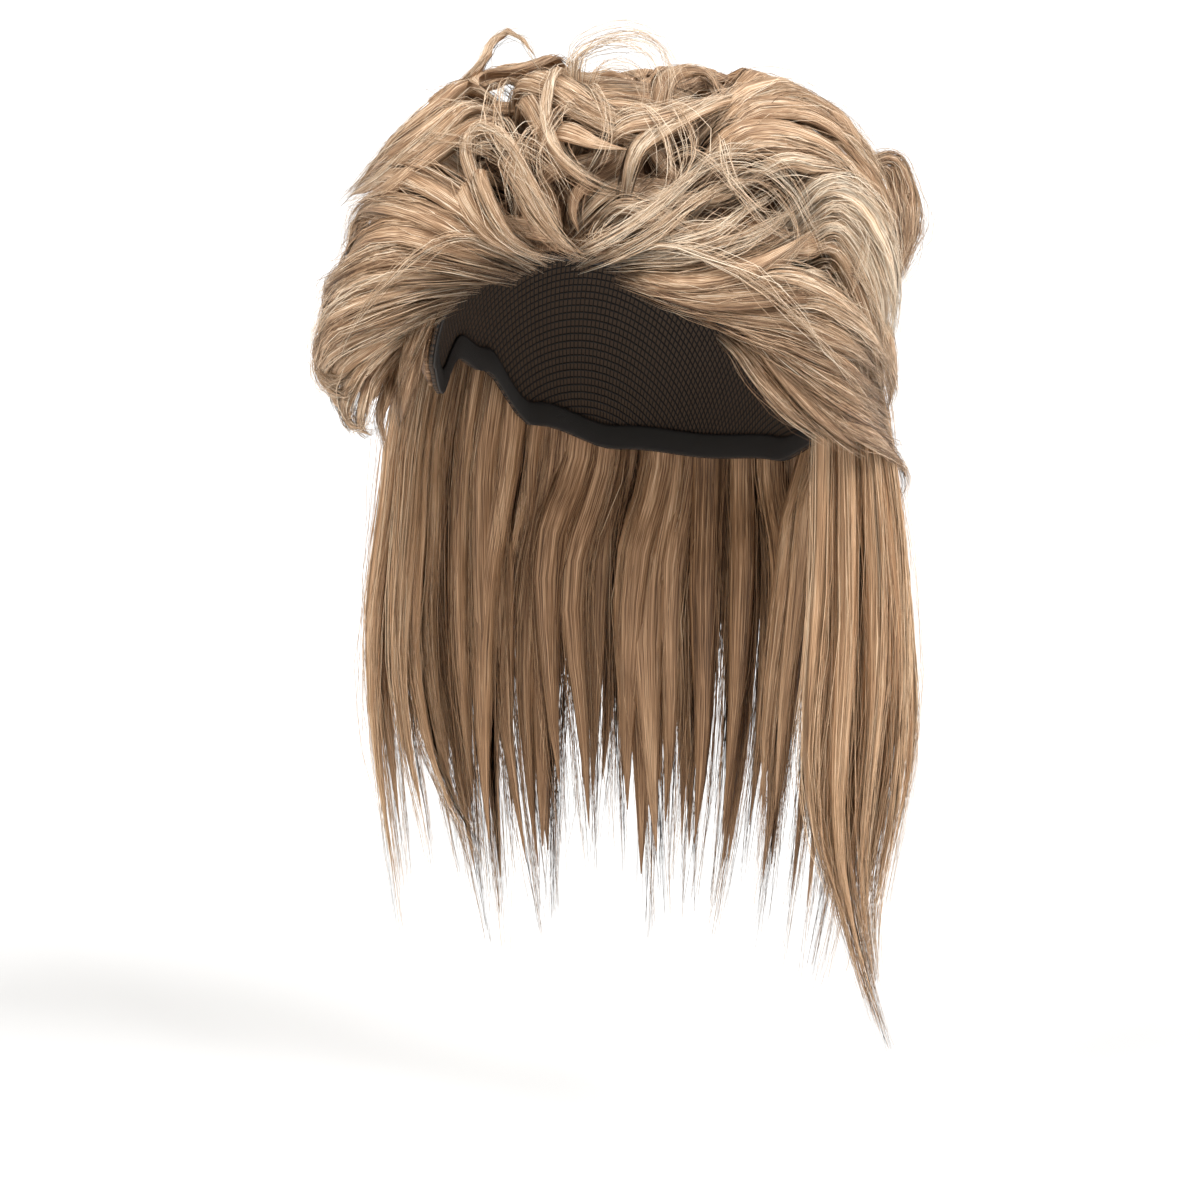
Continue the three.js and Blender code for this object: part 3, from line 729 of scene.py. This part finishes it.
def seen_guides(piece):
    guides = []
    for wide, thick, weight, tone, points in SEEN_LOCKS.get(piece, []):
        line = [seen_point(*p) for p in points]
        first_height, last_y = points[0][2], points[-1][1]
        sunk = first_height - max(ROOT_LEAST, ROOT_SHARE * first_height)
        line[0] = line[0] - sunk * unit(line[0] - HEAD_MIDDLE)
        light = weight < LIGHT_LOCK
        line = resampled(line, GUIDE_POINTS)
        loose = LIGHT_LOOSE if light else 1.0
        more = {"twist": SEEN_TWIST, "tip": SEEN_TIP, "core": not light, "loose": loose}
        guides.append(guide(line, wide, thick, weight, tone, **more))
        if piece not in SWEPT_RIGHT or last_y <= SWEPT_LOW or light:
            continue
        for share in UNDER_LAYERS:
            under = [seen_point(x, y, max(UNDER_LEAST, share * height)) for x, y, height in points]
            under = resampled(under, GUIDE_POINTS)
            # Painted shade: the locks underneath are darker than the one above
            shaded_tone = tone - UNDER_SHADE
            guides.append(guide(under, UNDER_WIDER * wide, thick, UNDER_WEIGHT, shaded_tone, twist=SEEN_TWIST))
    return guides


# The locks that fill the rest, piece by piece: how many, the turns and the drops that their roots are
# spread over, the way they are combed in degrees from straight down, how far they stray from it, and
# the layers that they lie in, as shares of the hair's depth

COMBED = {
    "crown_hair": [
        (22, (-80, 100), (12, 36), 0, 40, (0.45, 0.62)),
        (40, (100, 280), (8, 36), 0, 40, (0.62, 0.8, 0.94)),
        (12, (0, 360), (1, 9), 0, 50, (0.5, 0.7)),
    ],
    "fringe_left": [(18, (2, 60), (42, 64), 66, 12, (0.4, 0.6))],
    "fringe_right": [(20, (-60, 2), (38, 64), -66, 12, (0.5, 0.75))],
    "side_hair_left": [(46, (60, 128), (36, 78), 26, 18, (0.4, 0.55, 0.7))],
    "side_hair_right": [(46, (-128, -60), (36, 78), -26, 18, (0.55, 0.8, 0.95))],
    "back_hair": [(90, (128, 232), (36, 88), 0, 16, (0.62, 0.84, 1.0))],
}
LOCK_LENGTH = 96
LOCK_LENGTHS = (0.75, 1.15)
COMBED_WIDE = (7, 11)
COMBED_THICK = (2, 3)
COMBED_WEIGHT = 34
COMBED_TWIST = 90
COMBED_TONES = (-0.2, 0.6)

# Each swings to both sides of its way, in degrees and times, and heaves on its way down. The phase of
# both follows the turn of its root and spreads.
SWING = 38
SWINGS = 1.2
HEAVE = 3
HEAVE_PACE = 9
PHASE_BY_TURN = 4.8
PHASE_SPREAD = 0.5

# It lies LOCK_LEAST off the cap and more, and rises to its layer from a share of it at the root, over
# a share of its length
LOCK_LEAST = 1
LIFT_FROM = 0.15
LIFT_OVER = 0.3
LIFT_POWER = 0.7

# Near the crown a step sideways turns it further, as on a circle no smaller than this share
NARROWEST = 0.25

# Its root stays ROOT_WITHIN degrees above the cap's edge. OVERHANG is how many degrees below the edge
# it may hang, at turns from the front, and OVERHANG_LIFT how far it is lifted there, which it comes to
# over OVERHANG_NEAR degrees.
ROOT_WITHIN = 4
OVERHANG = ([0, 35, 60, 90, 145, 180], [-1, 0, -1, -1, 0, 9])
OVERHANG_NEAR = 6
OVERHANG_LIFT = ([0, 108, 130, 180], [0, 0, 9, 9])

# Where the net shows between the locks: the middle and the half size of a patch, as turn and drop,
# and how much lower and thinner the locks are there. The barest of them have no core.
BARE_MIDDLE = (50, 35)
BARE_SIZE = (32, 13)
BARE_LOWER = 0.55
BARE_THINNER = 0.75
BARE_CORE = 0.4


def bareness(turn, drop):
    across = (np.asarray(turn) - BARE_MIDDLE[0]) / BARE_SIZE[0]
    down = (np.asarray(drop) - BARE_MIDDLE[1]) / BARE_SIZE[1]
    return np.exp(-(across**2) - down**2)


def combed_lines(turn, drop, way, layer, length, phase):
    """The lines of locks that start at their roots' turns and drops and are combed down the head."""
    line = np.zeros((len(turn), GUIDE_POINTS, 3))
    for i, u in enumerate(np.linspace(0, 1, GUIDE_POINTS)):
        side = from_front(turn)
        drop = np.minimum(drop, edge_drop(turn) + smooth_between(*OVERHANG, side))
        rise = LIFT_FROM + (1 - LIFT_FROM) * min(1, u / LIFT_OVER) ** LIFT_POWER
        lift = hair_depth(turn, drop) * layer * rise * (1 - BARE_LOWER * bareness(turn, drop))
        near_edge = np.clip((drop - edge_drop(turn)) / OVERHANG_NEAR + 1, 0, 1)
        height = CAP_WALL + LOCK_LEAST + lift + HEAVE * np.sin(HEAVE_PACE * u + phase)
        height = height + near_edge * smooth_between(*OVERHANG_LIFT, side)
        line[:, i] = head_point(turn, drop, height)
        heading = np.radians(way + SWING * np.sin(2 * np.pi * SWINGS * u + phase))
        step = np.degrees(length / GUIDE_POINTS / (HEAD_RISE + height))
        drop = drop + step * np.cos(heading)
        turn = turn + step * np.sin(heading) / np.maximum(NARROWEST, np.sin(np.radians(drop)))
    return line


def combed_guides(piece, rng):
    guides = []
    for count, turns, drops, way, stray, layers in COMBED[piece]:
        turn = turns[0] + (rng.permutation(count) + 0.5) / count * np.ptp(turns)
        drop = np.minimum(rng.uniform(*drops, count), edge_drop(turn) - ROOT_WITHIN)
        layer = np.resize(layers, count)
        length = LOCK_LENGTH * rng.uniform(*LOCK_LENGTHS, count)
        ways = way + rng.normal(0, stray, count)
        phase = PHASE_BY_TURN * np.radians(turn) + rng.normal(0, PHASE_SPREAD, count)
        bare = bareness(turn, drop)
        line = combed_lines(turn, drop, ways, layer, length, phase)
        for k in range(count):
            weight = COMBED_WEIGHT * (1 - BARE_THINNER * bare[k])
            wide = layer[k] * rng.uniform(*COMBED_WIDE)
            thick = rng.uniform(*COMBED_THICK)
            more = {"twist": COMBED_TWIST, "core": bare[k] < BARE_CORE}
            guides.append(guide(line[k], wide, thick, weight, rng.normal(*COMBED_TONES), **more))
    return guides


# The long straight hair. HUNG_LOCKS has the locks that show in the picture: half the width and half
# the thickness, the share of the strands, the tone, the turn that the lock or each point hangs at,
# and where its points show. TAILS has the rest: their turns, how many they are, and their tone. The
# back pieces' low tones are painted shade on the inside of the hanging hair.

HUNG_LOCKS = {}
HUNG_LOCKS["tail_left"] = [
    (9, 5, 90, 0.1, 94, [(824, 430), (822, 520), (818, 610), (811, 700), (810, 790), (818, 850), (834, 900),
        (852, 940)]),
    (9, 5, 110, 0.6, 101, [(834, 430), (834, 520), (832, 620), (826, 720), (824, 800), (832, 870),
        (846, 930), (864, 990), (880, 1030)]),
    (8, 5, 120, 0.3, 97, [(846, 430), (848, 520), (848, 620), (842, 720), (838, 800), (842, 870), (854, 930),
        (870, 1000), (889, 1052)]),
    (9, 5, 110, 0.0, 106, [(856, 430), (860, 520), (862, 620), (858, 720), (852, 800), (850, 870),
        (857, 940), (870, 1000)]),
    (9, 5, 110, 0.5, 102, [(866, 430), (872, 520), (876, 620), (874, 720), (866, 800), (860, 870),
        (863, 930), (874, 990)]),
    (8, 5, 100, 0.2, 110, [(876, 440), (884, 520), (889, 620), (889, 720), (880, 800), (868, 870),
        (867, 930), (877, 985)]),
    (7, 4.5, 90, 0.6, 108, [(882, 440), (893, 520), (900, 620), (902, 710), (896, 790), (881, 870),
        (873, 930), (880, 980)]),
    (4, 3, 50, 0.8, 112, [(884, 450), (898, 540), (905, 620), (911, 700), (909, 770), (895, 840),
        (884, 920)]),
    (4, 3, 20, 0.8, 114, [(886, 450), (904, 570), (913, 700), (911, 790), (897, 850), (884, 930)]),
]
# Their low tones are painted shade on the inside of the hanging hair
HUNG_LOCKS["tail_back_left"] = [
    (8, 4, 90, -0.6, [128, 130, 132, 134, 136], [(806, 500), (796, 600), (784, 700), (776, 800),
        (770, 872)]),
    (7, 4, 80, -0.7, [138, 140, 142, 144, 146], [(790, 540), (778, 640), (766, 740), (762, 840),
        (758, 880)]),
]
HUNG_LOCKS["tail_right"] = [
    (6, 4, 80, 0.5, 272, [(396, 430), (388, 500), (378, 570), (373, 640), (375, 720), (383, 800), (393, 870),
        (402, 937)]),
    (8, 5, 90, 0.2, [266, 266, 266, 266, 266, 265, 264], [(402, 430), (395, 520), (387, 600), (385, 680),
        (392, 760), (400, 830), (408, 890)]),
    (2.5, 3, 20, 0.7, [270, 270, 270, 270, 270, 268, 268], [(404, 450), (396, 540), (388, 620), (390, 700),
        (398, 780), (407, 860), (410, 920)]),
    (8, 5, 90, 0.5, [270, 270, 270, 268, 266, 264, 262], [(412, 430), (406, 520), (399, 600), (399, 680),
        (410, 760), (424, 820), (432, 870)]),
    (8, 5, 110, 0.1, [264, 264, 264, 262, 260, 257, 254, 250, 247], [(420, 430), (416, 520), (411, 600),
        (412, 660), (422, 720), (436, 770), (454, 812), (472, 842), (488, 862)]),
    (8, 5, 100, -0.1, [258, 258, 256, 254, 250, 248, 246], [(430, 440), (428, 520), (424, 600), (430, 680),
        (444, 760), (460, 820), (476, 866)]),
    # The last two locks' low tones are painted shade on the inside of the hanging hair
    (8, 5, 90, -0.4, [252, 250, 250, 250, 249, 248], [(440, 450), (440, 560), (438, 660), (444, 750),
        (452, 820), (462, 880)]),
    (8, 4, 80, -0.8, [247, 248, 249, 248, 246, 245], [(466, 445), (461, 520), (460, 620), (464, 700),
        (473, 800), (478, 866)]),
]
# Their low tones are painted shade on the inside of the hanging hair
HUNG_LOCKS["tail_back_right"] = [
    (8, 4, 80, -0.9, [242, 242, 242, 241, 239, 239], [(484, 450), (482, 540), (484, 640), (488, 740),
        (494, 840), (497, 880)]),
    (7, 3, 80, -0.9, [235, 235, 235, 233, 232], [(504, 450), (503, 560), (506, 680), (511, 790),
        (516, 880)]),
    (7, 3, 80, -0.9, [228, 228, 228, 227, 225], [(528, 450), (526, 560), (529, 680), (534, 790),
        (540, 880)]),
]

TAILS = {
    "tail_left": {"turn": (108, 128), "locks": 5, "tone": -0.4},
    # The back pieces' low tone is painted shade on the hair's inner side
    "tail_back_left": {"turn": (128, 180), "locks": 20, "tone": -1.2},
    "tail_back_right": {"turn": (180, 232), "locks": 20, "tone": -1.2},
    "tail_right": {"turn": (232, 250), "locks": 4, "tone": -0.4},
}

# How wide the first kind starts and ends, and the others' share of the strands and their sizes
HUNG_ENDS = {"root": 1.1, "tip": 0.3}
TAIL_WEIGHT = 80
TAIL_THICK = 3.5
TAIL_WIDE = (6, 10)
TAIL_ROOT = 0.9
TAIL_TIPS = (0.2, 0.5)
TAIL_TONE_SPREAD = 0.45

# A tail's lock leaves the cap TAIL_WITHIN degrees above its edge. Where it hangs further out, its root
# is lifted by this share of that, within limits.
ROOT_OUT = 0.6
ROOT_LIFTS = (4, 24)
TAIL_WITHIN = 8

# Where the long hair parts beside the neck: the turn, and how far the locks keep away from it
TAIL_PART = (152, 4)

# The rest: where in its own part of the turns each hangs, how far down as a share of TAIL_LENGTH, how
# far out as a share of the half widths, and how far the cap's edge lifts it. Its points start
# BELOW_EDGE under the edge.
TAIL_PLACE = (0.1, 0.9)
TAIL_REACH = (0.8, 0.93)
TAIL_OUT = (0.9, 1.06)
EDGE_LIFTS = (13, 25)
BELOW_EDGE = 20

# They sway and drift, in degrees, and lie at shares of the half widths at shares of the way down
TAIL_SWAY = (1, 4)
SWAY_PACE = 5
TAIL_DRIFT = 4
FALL_DOWN = [0.42, 0.58, 0.8, 1.0]
FALL_WIDE = [0.97, 1.02, 0.98, 0.86]


def tail_root(turn, first):
    """Where a tail's lock leaves the cap, from its turn and the first point that it hangs through."""
    lift = np.clip(ROOT_OUT * (math.hypot(first[0], first[1]) - HEAD_WIDTH / 2), *ROOT_LIFTS)
    return head_point(turn, min(SIDE_DROP, edge_drop(turn) - TAIL_WITHIN), lift)


def hung_guides(piece):
    guides = []
    for wide, thick, weight, tone, turn, spots in HUNG_LOCKS[piece]:
        turns = np.broadcast_to(turn, len(spots))
        line = [hung_point(x, y, turn) for (x, y), turn in zip(spots, turns)]
        line = resampled([tail_root(turns[0], line[0]), *line], GUIDE_POINTS)
        guides.append(guide(line, wide, thick, weight, tone, core=weight >= LIGHT_LOCK, **HUNG_ENDS))
    return guides


def tail_guides(piece, rng):
    guides = hung_guides(piece)
    row = TAILS[piece]
    for k in range(row["locks"]):
        turn = row["turn"][0] + (k + rng.uniform(*TAIL_PLACE)) / row["locks"] * np.ptp(row["turn"])
        turn += TAIL_PART[1] * np.sign(turn - TAIL_PART[0]) * (abs(turn - TAIL_PART[0]) < TAIL_PART[1])
        reach = TAIL_LENGTH * rng.uniform(*TAIL_REACH)
        out = rng.uniform(*TAIL_OUT)
        sway, phase = rng.uniform(*TAIL_SWAY), rng.uniform(0, 2 * np.pi)
        drift = rng.normal(0, TAIL_DRIFT)
        edge = head_point(turn, edge_drop(turn), np.interp(out, TAIL_OUT, EDGE_LIFTS))
        points = []
        for down, share in zip(FALL_DOWN, FALL_WIDE):
            angle = math.radians(turn + drift * down + sway * math.sin(SWAY_PACE * down + phase))
            x, y = TAIL_HALF_WIDTH * math.sin(angle), -TAIL_HALF_DEPTH * math.cos(angle)
            if -reach * down < edge[2] - BELOW_EDGE:
                points.append(np.array([out * share * x, out * share * y, -reach * down]))
        line = resampled([tail_root(turn, points[0]), edge, *points], GUIDE_POINTS)
        wide, tone = rng.uniform(*TAIL_WIDE), rng.normal(row["tone"], TAIL_TONE_SPREAD)
        tip = rng.uniform(*TAIL_TIPS)
        guides.append(guide(line, wide, TAIL_THICK, TAIL_WEIGHT, tone, root=TAIL_ROOT, tip=tip))
    return guides


# Materials

# The colours run from the darkest tone to the lightest
WAVED_STOPS = [
    (0.0, (0.09, 0.045, 0.022)),
    (0.25, (0.22, 0.115, 0.055)),
    (0.5, (0.43, 0.255, 0.14)),
    (0.75, (0.74, 0.51, 0.325)),
    (1.0, (0.98, 0.83, 0.64)),
]
STRAIGHT_STOPS = [
    (0.0, (0.12, 0.06, 0.028)),
    (0.25, (0.28, 0.148, 0.07)),
    (0.5, (0.5, 0.285, 0.15)),
    (0.75, (0.74, 0.47, 0.275)),
    (1.0, (0.92, 0.69, 0.46)),
]
WAVED_ROUGHNESS = 0.42
STRAIGHT_ROUGHNESS = 0.4
HAIR_GLOSS = 0.35

# The streaks' repeats across and along a strand, how they shift its tone, and how much rougher they
# make it
STREAKS = (150, 4, 1)
STREAK_TONE = (2.8, -1.37)
STREAK_ROUGHNESS = (-0.06, 0.08)

# How far from the root a strand is darker, and the share of its colour that the root has
ROOT_SHADE_OVER = 0.22
ROOT_SHADE = 0.45

# Each relief's strength, and its depth in metres
HAIR_RELIEF = (0.6, 0.0007)
NET_RELIEF = (0.8, 0.0005)
ELASTIC_RELIEF = (0.6, 0.0004)

NET_CELLS = 190.0
NET_STOPS = [(0.18, (0.012, 0.009, 0.007)), (0.34, (0.075, 0.045, 0.026))]
THREAD_WIDTH = 0.35
ELASTIC_RIBS = 18.0
ELASTIC_STOPS = [(0.0, (0.012, 0.01, 0.009)), (1.0, (0.045, 0.038, 0.033))]

# The Mix node's sockets for colours
MIX_SHARE, MIX_FIRST, MIX_SECOND, MIX_RESULT = 0, 6, 7, 2


def nodes_of(name):
    material = bpy.data.materials.new(name)
    material.use_nodes = True
    tree = material.node_tree
    return material, tree, tree.nodes["Principled BSDF"]


def feed(tree, node, inputs):
    """Link each input that is another node's output, and set the others."""
    for key, value in dict(inputs).items():
        if isinstance(value, bpy.types.NodeSocket):
            tree.links.new(value, node.inputs[key])
        else:
            node.inputs[key].default_value = value


def add(tree, kind, inputs=(), **settings):
    node = tree.nodes.new(kind)
    for key, value in settings.items():
        setattr(node, key, value)
    feed(tree, node, inputs)
    return node


def calculated(tree, operation, *values):
    return add(tree, "ShaderNodeMath", enumerate(values), operation=operation).outputs[0]


def uv_of(tree):
    return add(tree, "ShaderNodeUVMap", uv_map="OFBake").outputs["UV"]


def relief(tree, height, strength, distance):
    bump = add(tree, "ShaderNodeBump", {"Height": height, "Strength": strength, "Distance": distance})
    return bump.outputs["Normal"]


def ramp(tree, factor, stops):
    node = add(tree, "ShaderNodeValToRGB", {"Fac": factor})
    band = node.color_ramp
    while len(band.elements) < len(stops):
        band.elements.new(0.5)
    for element, (place, colour) in zip(band.elements, stops):
        element.position = place
        element.color = (*colour, 1)
    return node.outputs["Color"]


def hair_material(name, stops, roughness):
    """Hair whose tone follows the UV's x, with darker roots and fine streaks along each strand."""
    material, tree, shader = nodes_of(name)
    uv = uv_of(tree)
    parts = add(tree, "ShaderNodeSeparateXYZ", {"Vector": uv})
    stretch = add(tree, "ShaderNodeMapping", {"Vector": uv, "Scale": STREAKS})
    noise = {"Vector": stretch.outputs["Vector"], "Scale": 1.0, "Detail": 3.0, "Roughness": 0.75}
    streaks = add(tree, "ShaderNodeTexNoise", noise).outputs["Fac"]
    drift = calculated(tree, "MULTIPLY_ADD", streaks, *STREAK_TONE)
    colour = ramp(tree, calculated(tree, "ADD", parts.outputs["X"], drift), stops)
    shade = {"Value": parts.outputs["Y"], "From Max": ROOT_SHADE_OVER, "To Min": ROOT_SHADE}
    root = add(tree, "ShaderNodeMapRange", shade, interpolation_type="SMOOTHSTEP").outputs["Result"]
    mixed = {MIX_SHARE: 1.0, MIX_FIRST: colour, MIX_SECOND: root}
    dark = add(tree, "ShaderNodeMix", mixed, data_type="RGBA", blend_type="MULTIPLY")
    low, high = (roughness + more for more in STREAK_ROUGHNESS)
    rough = add(tree, "ShaderNodeMapRange", {"Value": streaks, "To Min": low, "To Max": high})
    surface = {
        "Base Color": dark.outputs[MIX_RESULT],
        "Roughness": rough.outputs["Result"],
        "Normal": relief(tree, streaks, *HAIR_RELIEF),
        "Specular IOR Level": HAIR_GLOSS,
    }
    feed(tree, shader, surface)
    return material


def net_material():
    """Black wig net: threads that cross on the slant, over hair that shows brown between them."""
    material, tree, shader = nodes_of("net")
    parts = add(tree, "ShaderNodeSeparateXYZ", {"Vector": uv_of(tree)})
    threads = []
    for cells in (NET_CELLS, -NET_CELLS):
        across = calculated(tree, "MULTIPLY", parts.outputs["X"], NET_CELLS)
        slant = calculated(tree, "MULTIPLY_ADD", parts.outputs["Y"], cells, across)
        threads.append(calculated(tree, "PINGPONG", slant, 1.0))
    thread = calculated(tree, "MINIMUM", *threads)
    raised = {"Value": thread, "From Max": THREAD_WIDTH, "To Min": 1.0, "To Max": 0.0}
    height = add(tree, "ShaderNodeMapRange", raised).outputs["Result"]
    surface = {
        "Base Color": ramp(tree, thread, NET_STOPS),
        "Normal": relief(tree, height, *NET_RELIEF),
        "Roughness": 0.75,
    }
    feed(tree, shader, surface)
    return material


def elastic_material():
    """Black woven elastic: fine ribs along the band."""
    material, tree, shader = nodes_of("elastic")
    ribs = {"Vector": uv_of(tree), "Scale": ELASTIC_RIBS, "Distortion": 0.4}
    wave = add(tree, "ShaderNodeTexWave", ribs, bands_direction="Y").outputs["Fac"]
    surface = {
        "Base Color": ramp(tree, wave, ELASTIC_STOPS),
        "Normal": relief(tree, wave, *ELASTIC_RELIEF),
        "Roughness": 0.7,
    }
    feed(tree, shader, surface)
    return material


# Shells over the head

CAP_COLUMNS = 96
CAP_ROWS = 22
CAP_TOP = 1
BAND_ROWS = 8
BAND_EDGE = 0.6

# The drop that reaches the side of the UV square when the cap is laid out flat in it
FLAT_REACH = 125


def shell(turn, drop, low, high, uv):
    """A closed wall over the head between two heights, over a grid of turns and drops. turn is
    (across,), drop, low and high are (across, along), and uv (across - 1, along, 2, 2) has the UVs of
    both sides of each column of faces."""
    across, along = drop.shape
    outer = head_point(turn[:, None], drop, high)
    inner = head_point(turn[:, None], drop, low)
    points = np.concatenate([outer, inner[:, ::-1]], 1)
    rings = 2 * along
    number = np.arange(across * rings).reshape(across, rings)
    closed = math.isclose(turn[-1] - turn[0], 360)
    if closed:
        points, number = points[:-1], np.vstack([number[:-1], number[:1]])
    here, there = number[:-1], number[1:]
    quads = np.stack([here, np.roll(here, -1, 1), np.roll(there, -1, 1), there], -1).reshape(-1, 4)
    both = np.concatenate([uv, uv[:, ::-1]], 1)
    after = np.roll(both, -1, 1)
    quad_uv = np.stack([both[:, :, 0], after[:, :, 0], after[:, :, 1], both[:, :, 1]], 2).reshape(-1, 4, 2)
    caps, cap_uv = [np.zeros((0, 3), int)], [np.zeros((0, 3, 2))]
    if not closed:
        k = np.arange(along - 1)
        for ring, column, side, order in ((0, 0, 0, 1), (across - 1, -1, 1, -1)):
            corners = np.stack([k, rings - 1 - k, rings - 2 - k, k + 1], -1)[:, ::order]
            for half in ([0, 1, 2], [0, 2, 3]):
                caps.append(number[ring][corners[:, half]])
                cap_uv.append(both[column, :, side][corners[:, half]])
    return part(points.reshape(-1, 3), quads, caps, quad_uv, cap_uv)


def column_sides(uv):
    """The UVs of both sides of each column of faces, from those of the grid's points."""
    return np.stack([uv[:-1], uv[1:]], 2)


def make_cap(material):
    turn = np.linspace(0, 360, CAP_COLUMNS + 1)
    drop = CAP_TOP + np.linspace(0, 1, CAP_ROWS)[None, :] * (edge_drop(turn)[:, None] - CAP_TOP)
    low = np.zeros_like(drop)
    share, round_crown = 0.5 * drop / FLAT_REACH, np.radians(turn)[:, None]
    uv = np.stack([0.5 + share * np.sin(round_crown), 0.5 - share * np.cos(round_crown)], -1)
    wall = shell(turn, drop, low, low + CAP_WALL, column_sides(uv))
    stand_for(mesh_of("net_cap", [wall], material), "cap")


def make_band(material):
    turn = np.linspace(0, 360, 2 * CAP_COLUMNS + 1)
    width = math.degrees(BAND_WIDTH / HEAD_RISE)
    across = np.linspace(0, 1, BAND_ROWS)[None, :]
    drop = edge_drop(turn)[:, None] + (across - 1) * width
    wall_width = BAND_WALL * (BAND_EDGE + (1 - BAND_EDGE) * np.sin(np.pi * across))
    high = np.full_like(drop, -PIECE_GAP)
    uv = np.stack(np.broadcast_arrays(turn[:, None] / 360, across), -1)
    wall = shell(turn, drop, high - wall_width, high, column_sides(uv))
    stand_for(mesh_of("elastic_band", [wall], material), "edge_band")


# The packed hair next to the cap, under the locks: each piece's turns and drops

PACKED = {
    "crown_hair": ((0, 360), (2, 39)),
    "fringe_left": ((0, 60), (37, 90)),
    "fringe_right": ((-60, 0), (37, 90)),
    "side_hair_left": ((60, 128), (37, 90)),
    "side_hair_right": ((-128, -60), (37, 90)),
    "back_hair": ((128, 232), (37, 112)),
}
PACKED_STEP = 2.5
PACKED_ROWS = 18

# It ends PACKED_WITHIN above the cap's edge. Its least thickness, its share of the hair's depth, the
# drop over which it thins towards the edge, the share that is left there, and how much of it the bare
# patch takes away
PACKED_WITHIN = 1
PACKED_LEAST = 0.8
PACKED_SHARE = 0.42
PACKED_FADE = 16
PACKED_EDGE = 0.06
PACKED_BARE = 0.93

# Its ridges: their height, how many go round the head, and how they bend on their way down
RIDGE_HEIGHT = 2.5
RIDGES_ROUND = 25
RIDGE_BEND = 2.5
RIDGE_BEND_PACE = 5
# The packed hair's tones sit at the dark end of the ramp: painted shade deep in the hair
PACKED_SHADE_TONES = (0.02, 0.22)
PACKED_ACROSS = np.array([0, 0.05])
PACKED_UV = (0.1, 0.9)


def packed_hair(piece, rng):
    """Packed hair in ridges toned dark as painted shade under the locks, thin where it meets the cap's edge
    and where the net shows.
    """
    (turn_from, turn_to), (drop_from, drop_to) = PACKED[piece]
    columns = round((turn_to - turn_from) / PACKED_STEP)
    turn = np.linspace(turn_from, turn_to, columns + 1)
    turns = turn[:, None]
    bottom = np.minimum(drop_to, edge_drop(turns) - PACKED_WITHIN)
    drop = drop_from + np.linspace(0, 1, PACKED_ROWS)[None, :] * (bottom - drop_from)
    low = np.full_like(drop, CAP_WALL + PIECE_GAP)
    fade = np.clip((edge_drop(turns) - drop) / PACKED_FADE, PACKED_EDGE, 1)
    fade = fade * (1 - PACKED_BARE * bareness(turns, drop))
    bend = RIDGE_BEND * np.sin(np.radians(RIDGE_BEND_PACE * drop))
    ridge = RIDGE_HEIGHT * np.sin(RIDGES_ROUND * np.radians(turns) + bend)
    high = low + PACKED_LEAST + (PACKED_SHARE * hair_depth(turns, drop) + ridge) * fade
    tone = rng.uniform(*PACKED_SHADE_TONES, (columns, 1, 1))
    u = np.broadcast_to(tone + PACKED_ACROSS, (columns, PACKED_ROWS, 2))
    v = np.broadcast_to(np.linspace(*PACKED_UV, PACKED_ROWS)[:, None], u.shape)
    return shell(turn, drop, low, high, np.stack([u, v], -1))


# How many single strands each piece has

STRANDS = {
    "crown_hair": 2390,
    "fringe_left": 1860,
    "fringe_right": 1600,
    "side_hair_left": 1750,
    "side_hair_right": 1100,
    "back_hair": 1150,
    "tail_left": 1330,
    "tail_back_left": 930,
    "tail_back_right": 980,
    "tail_right": 1000,
}


def make_hair():
    waved = hair_material("waved_hair", WAVED_STOPS, WAVED_ROUGHNESS)
    straight = hair_material("straight_hair", STRAIGHT_STOPS, STRAIGHT_ROUGHNESS)
    for number, (piece, total) in enumerate(STRANDS.items()):
        rng = np.random.default_rng([SEED, number])
        if piece in TAILS:
            guides = tail_guides(piece, rng)
            parts = []
            material, slot, style = straight, "straight_hair", STRAIGHT
        else:
            guides = combed_guides(piece, rng) + seen_guides(piece)
            parts = [packed_hair(piece, rng)]
            material, slot, style = waved, "waved_hair", WAVED
        parts += [cores(guides, rng, style), strands(guides, rng, total, style)]
        stand_for(mesh_of(piece + "_strands", parts, material), piece)


# The floor and the light

FLOOR_LEVEL = -430
FLOOR_HALF = 200
FLOOR_COLOUR = (0.8, 0.8, 0.8, 1)
WORLD_COLOUR = (1, 0.98, 0.95, 1)
WORLD_STRENGTH = 0.4

# Broad far lights: the turn, the rise, the spread, the power and the colour of each
LIGHTS = {
    "key": (-35, 45, 35, 2.0, (1, 0.99, 0.97)),
    "fill": (75, 42, 30, 2.9, (0.98, 0.99, 1)),
    "rim": (170, 60, 40, 0.9, (1, 1, 1)),
}


def make_floor():
    mesh = bpy.data.meshes.new("floor")
    half, level = FLOOR_HALF, FLOOR_LEVEL * MM
    corners = [(-half, -half, level), (half, -half, level), (half, half, level), (-half, half, level)]
    mesh.from_pydata(corners, [], [(0, 1, 2, 3)])
    floor = bpy.data.objects.new("floor", mesh)
    material, tree, shader = nodes_of("floor")
    feed(tree, shader, {"Base Color": FLOOR_COLOUR, "Roughness": 0.6})
    mesh.materials.append(material)
    bpy.context.scene.collection.objects.link(floor)


def make_lights():
    for name, (turn, rise, spread, power, colour) in LIGHTS.items():
        data = bpy.data.lights.new(name, "SUN")
        data.angle, data.energy, data.color = math.radians(spread), power, colour
        light = bpy.data.objects.new(name, data)
        light.rotation_mode = "QUATERNION"
        light.rotation_quaternion = Vector(direction(turn, rise)).to_track_quat("Z", "Y")
        bpy.context.scene.collection.objects.link(light)


def make_world():
    world = bpy.data.worlds.new("world")
    world.use_nodes = True
    tree = world.node_tree
    feed(tree, tree.nodes["Background"], {"Color": WORLD_COLOUR, "Strength": WORLD_STRENGTH})
    bpy.context.scene.world = world
    bpy.context.scene.view_settings.view_transform = "Standard"


make_camera()
make_cap(net_material())
make_band(elastic_material())
make_hair()
make_floor()
make_lights()
make_world()
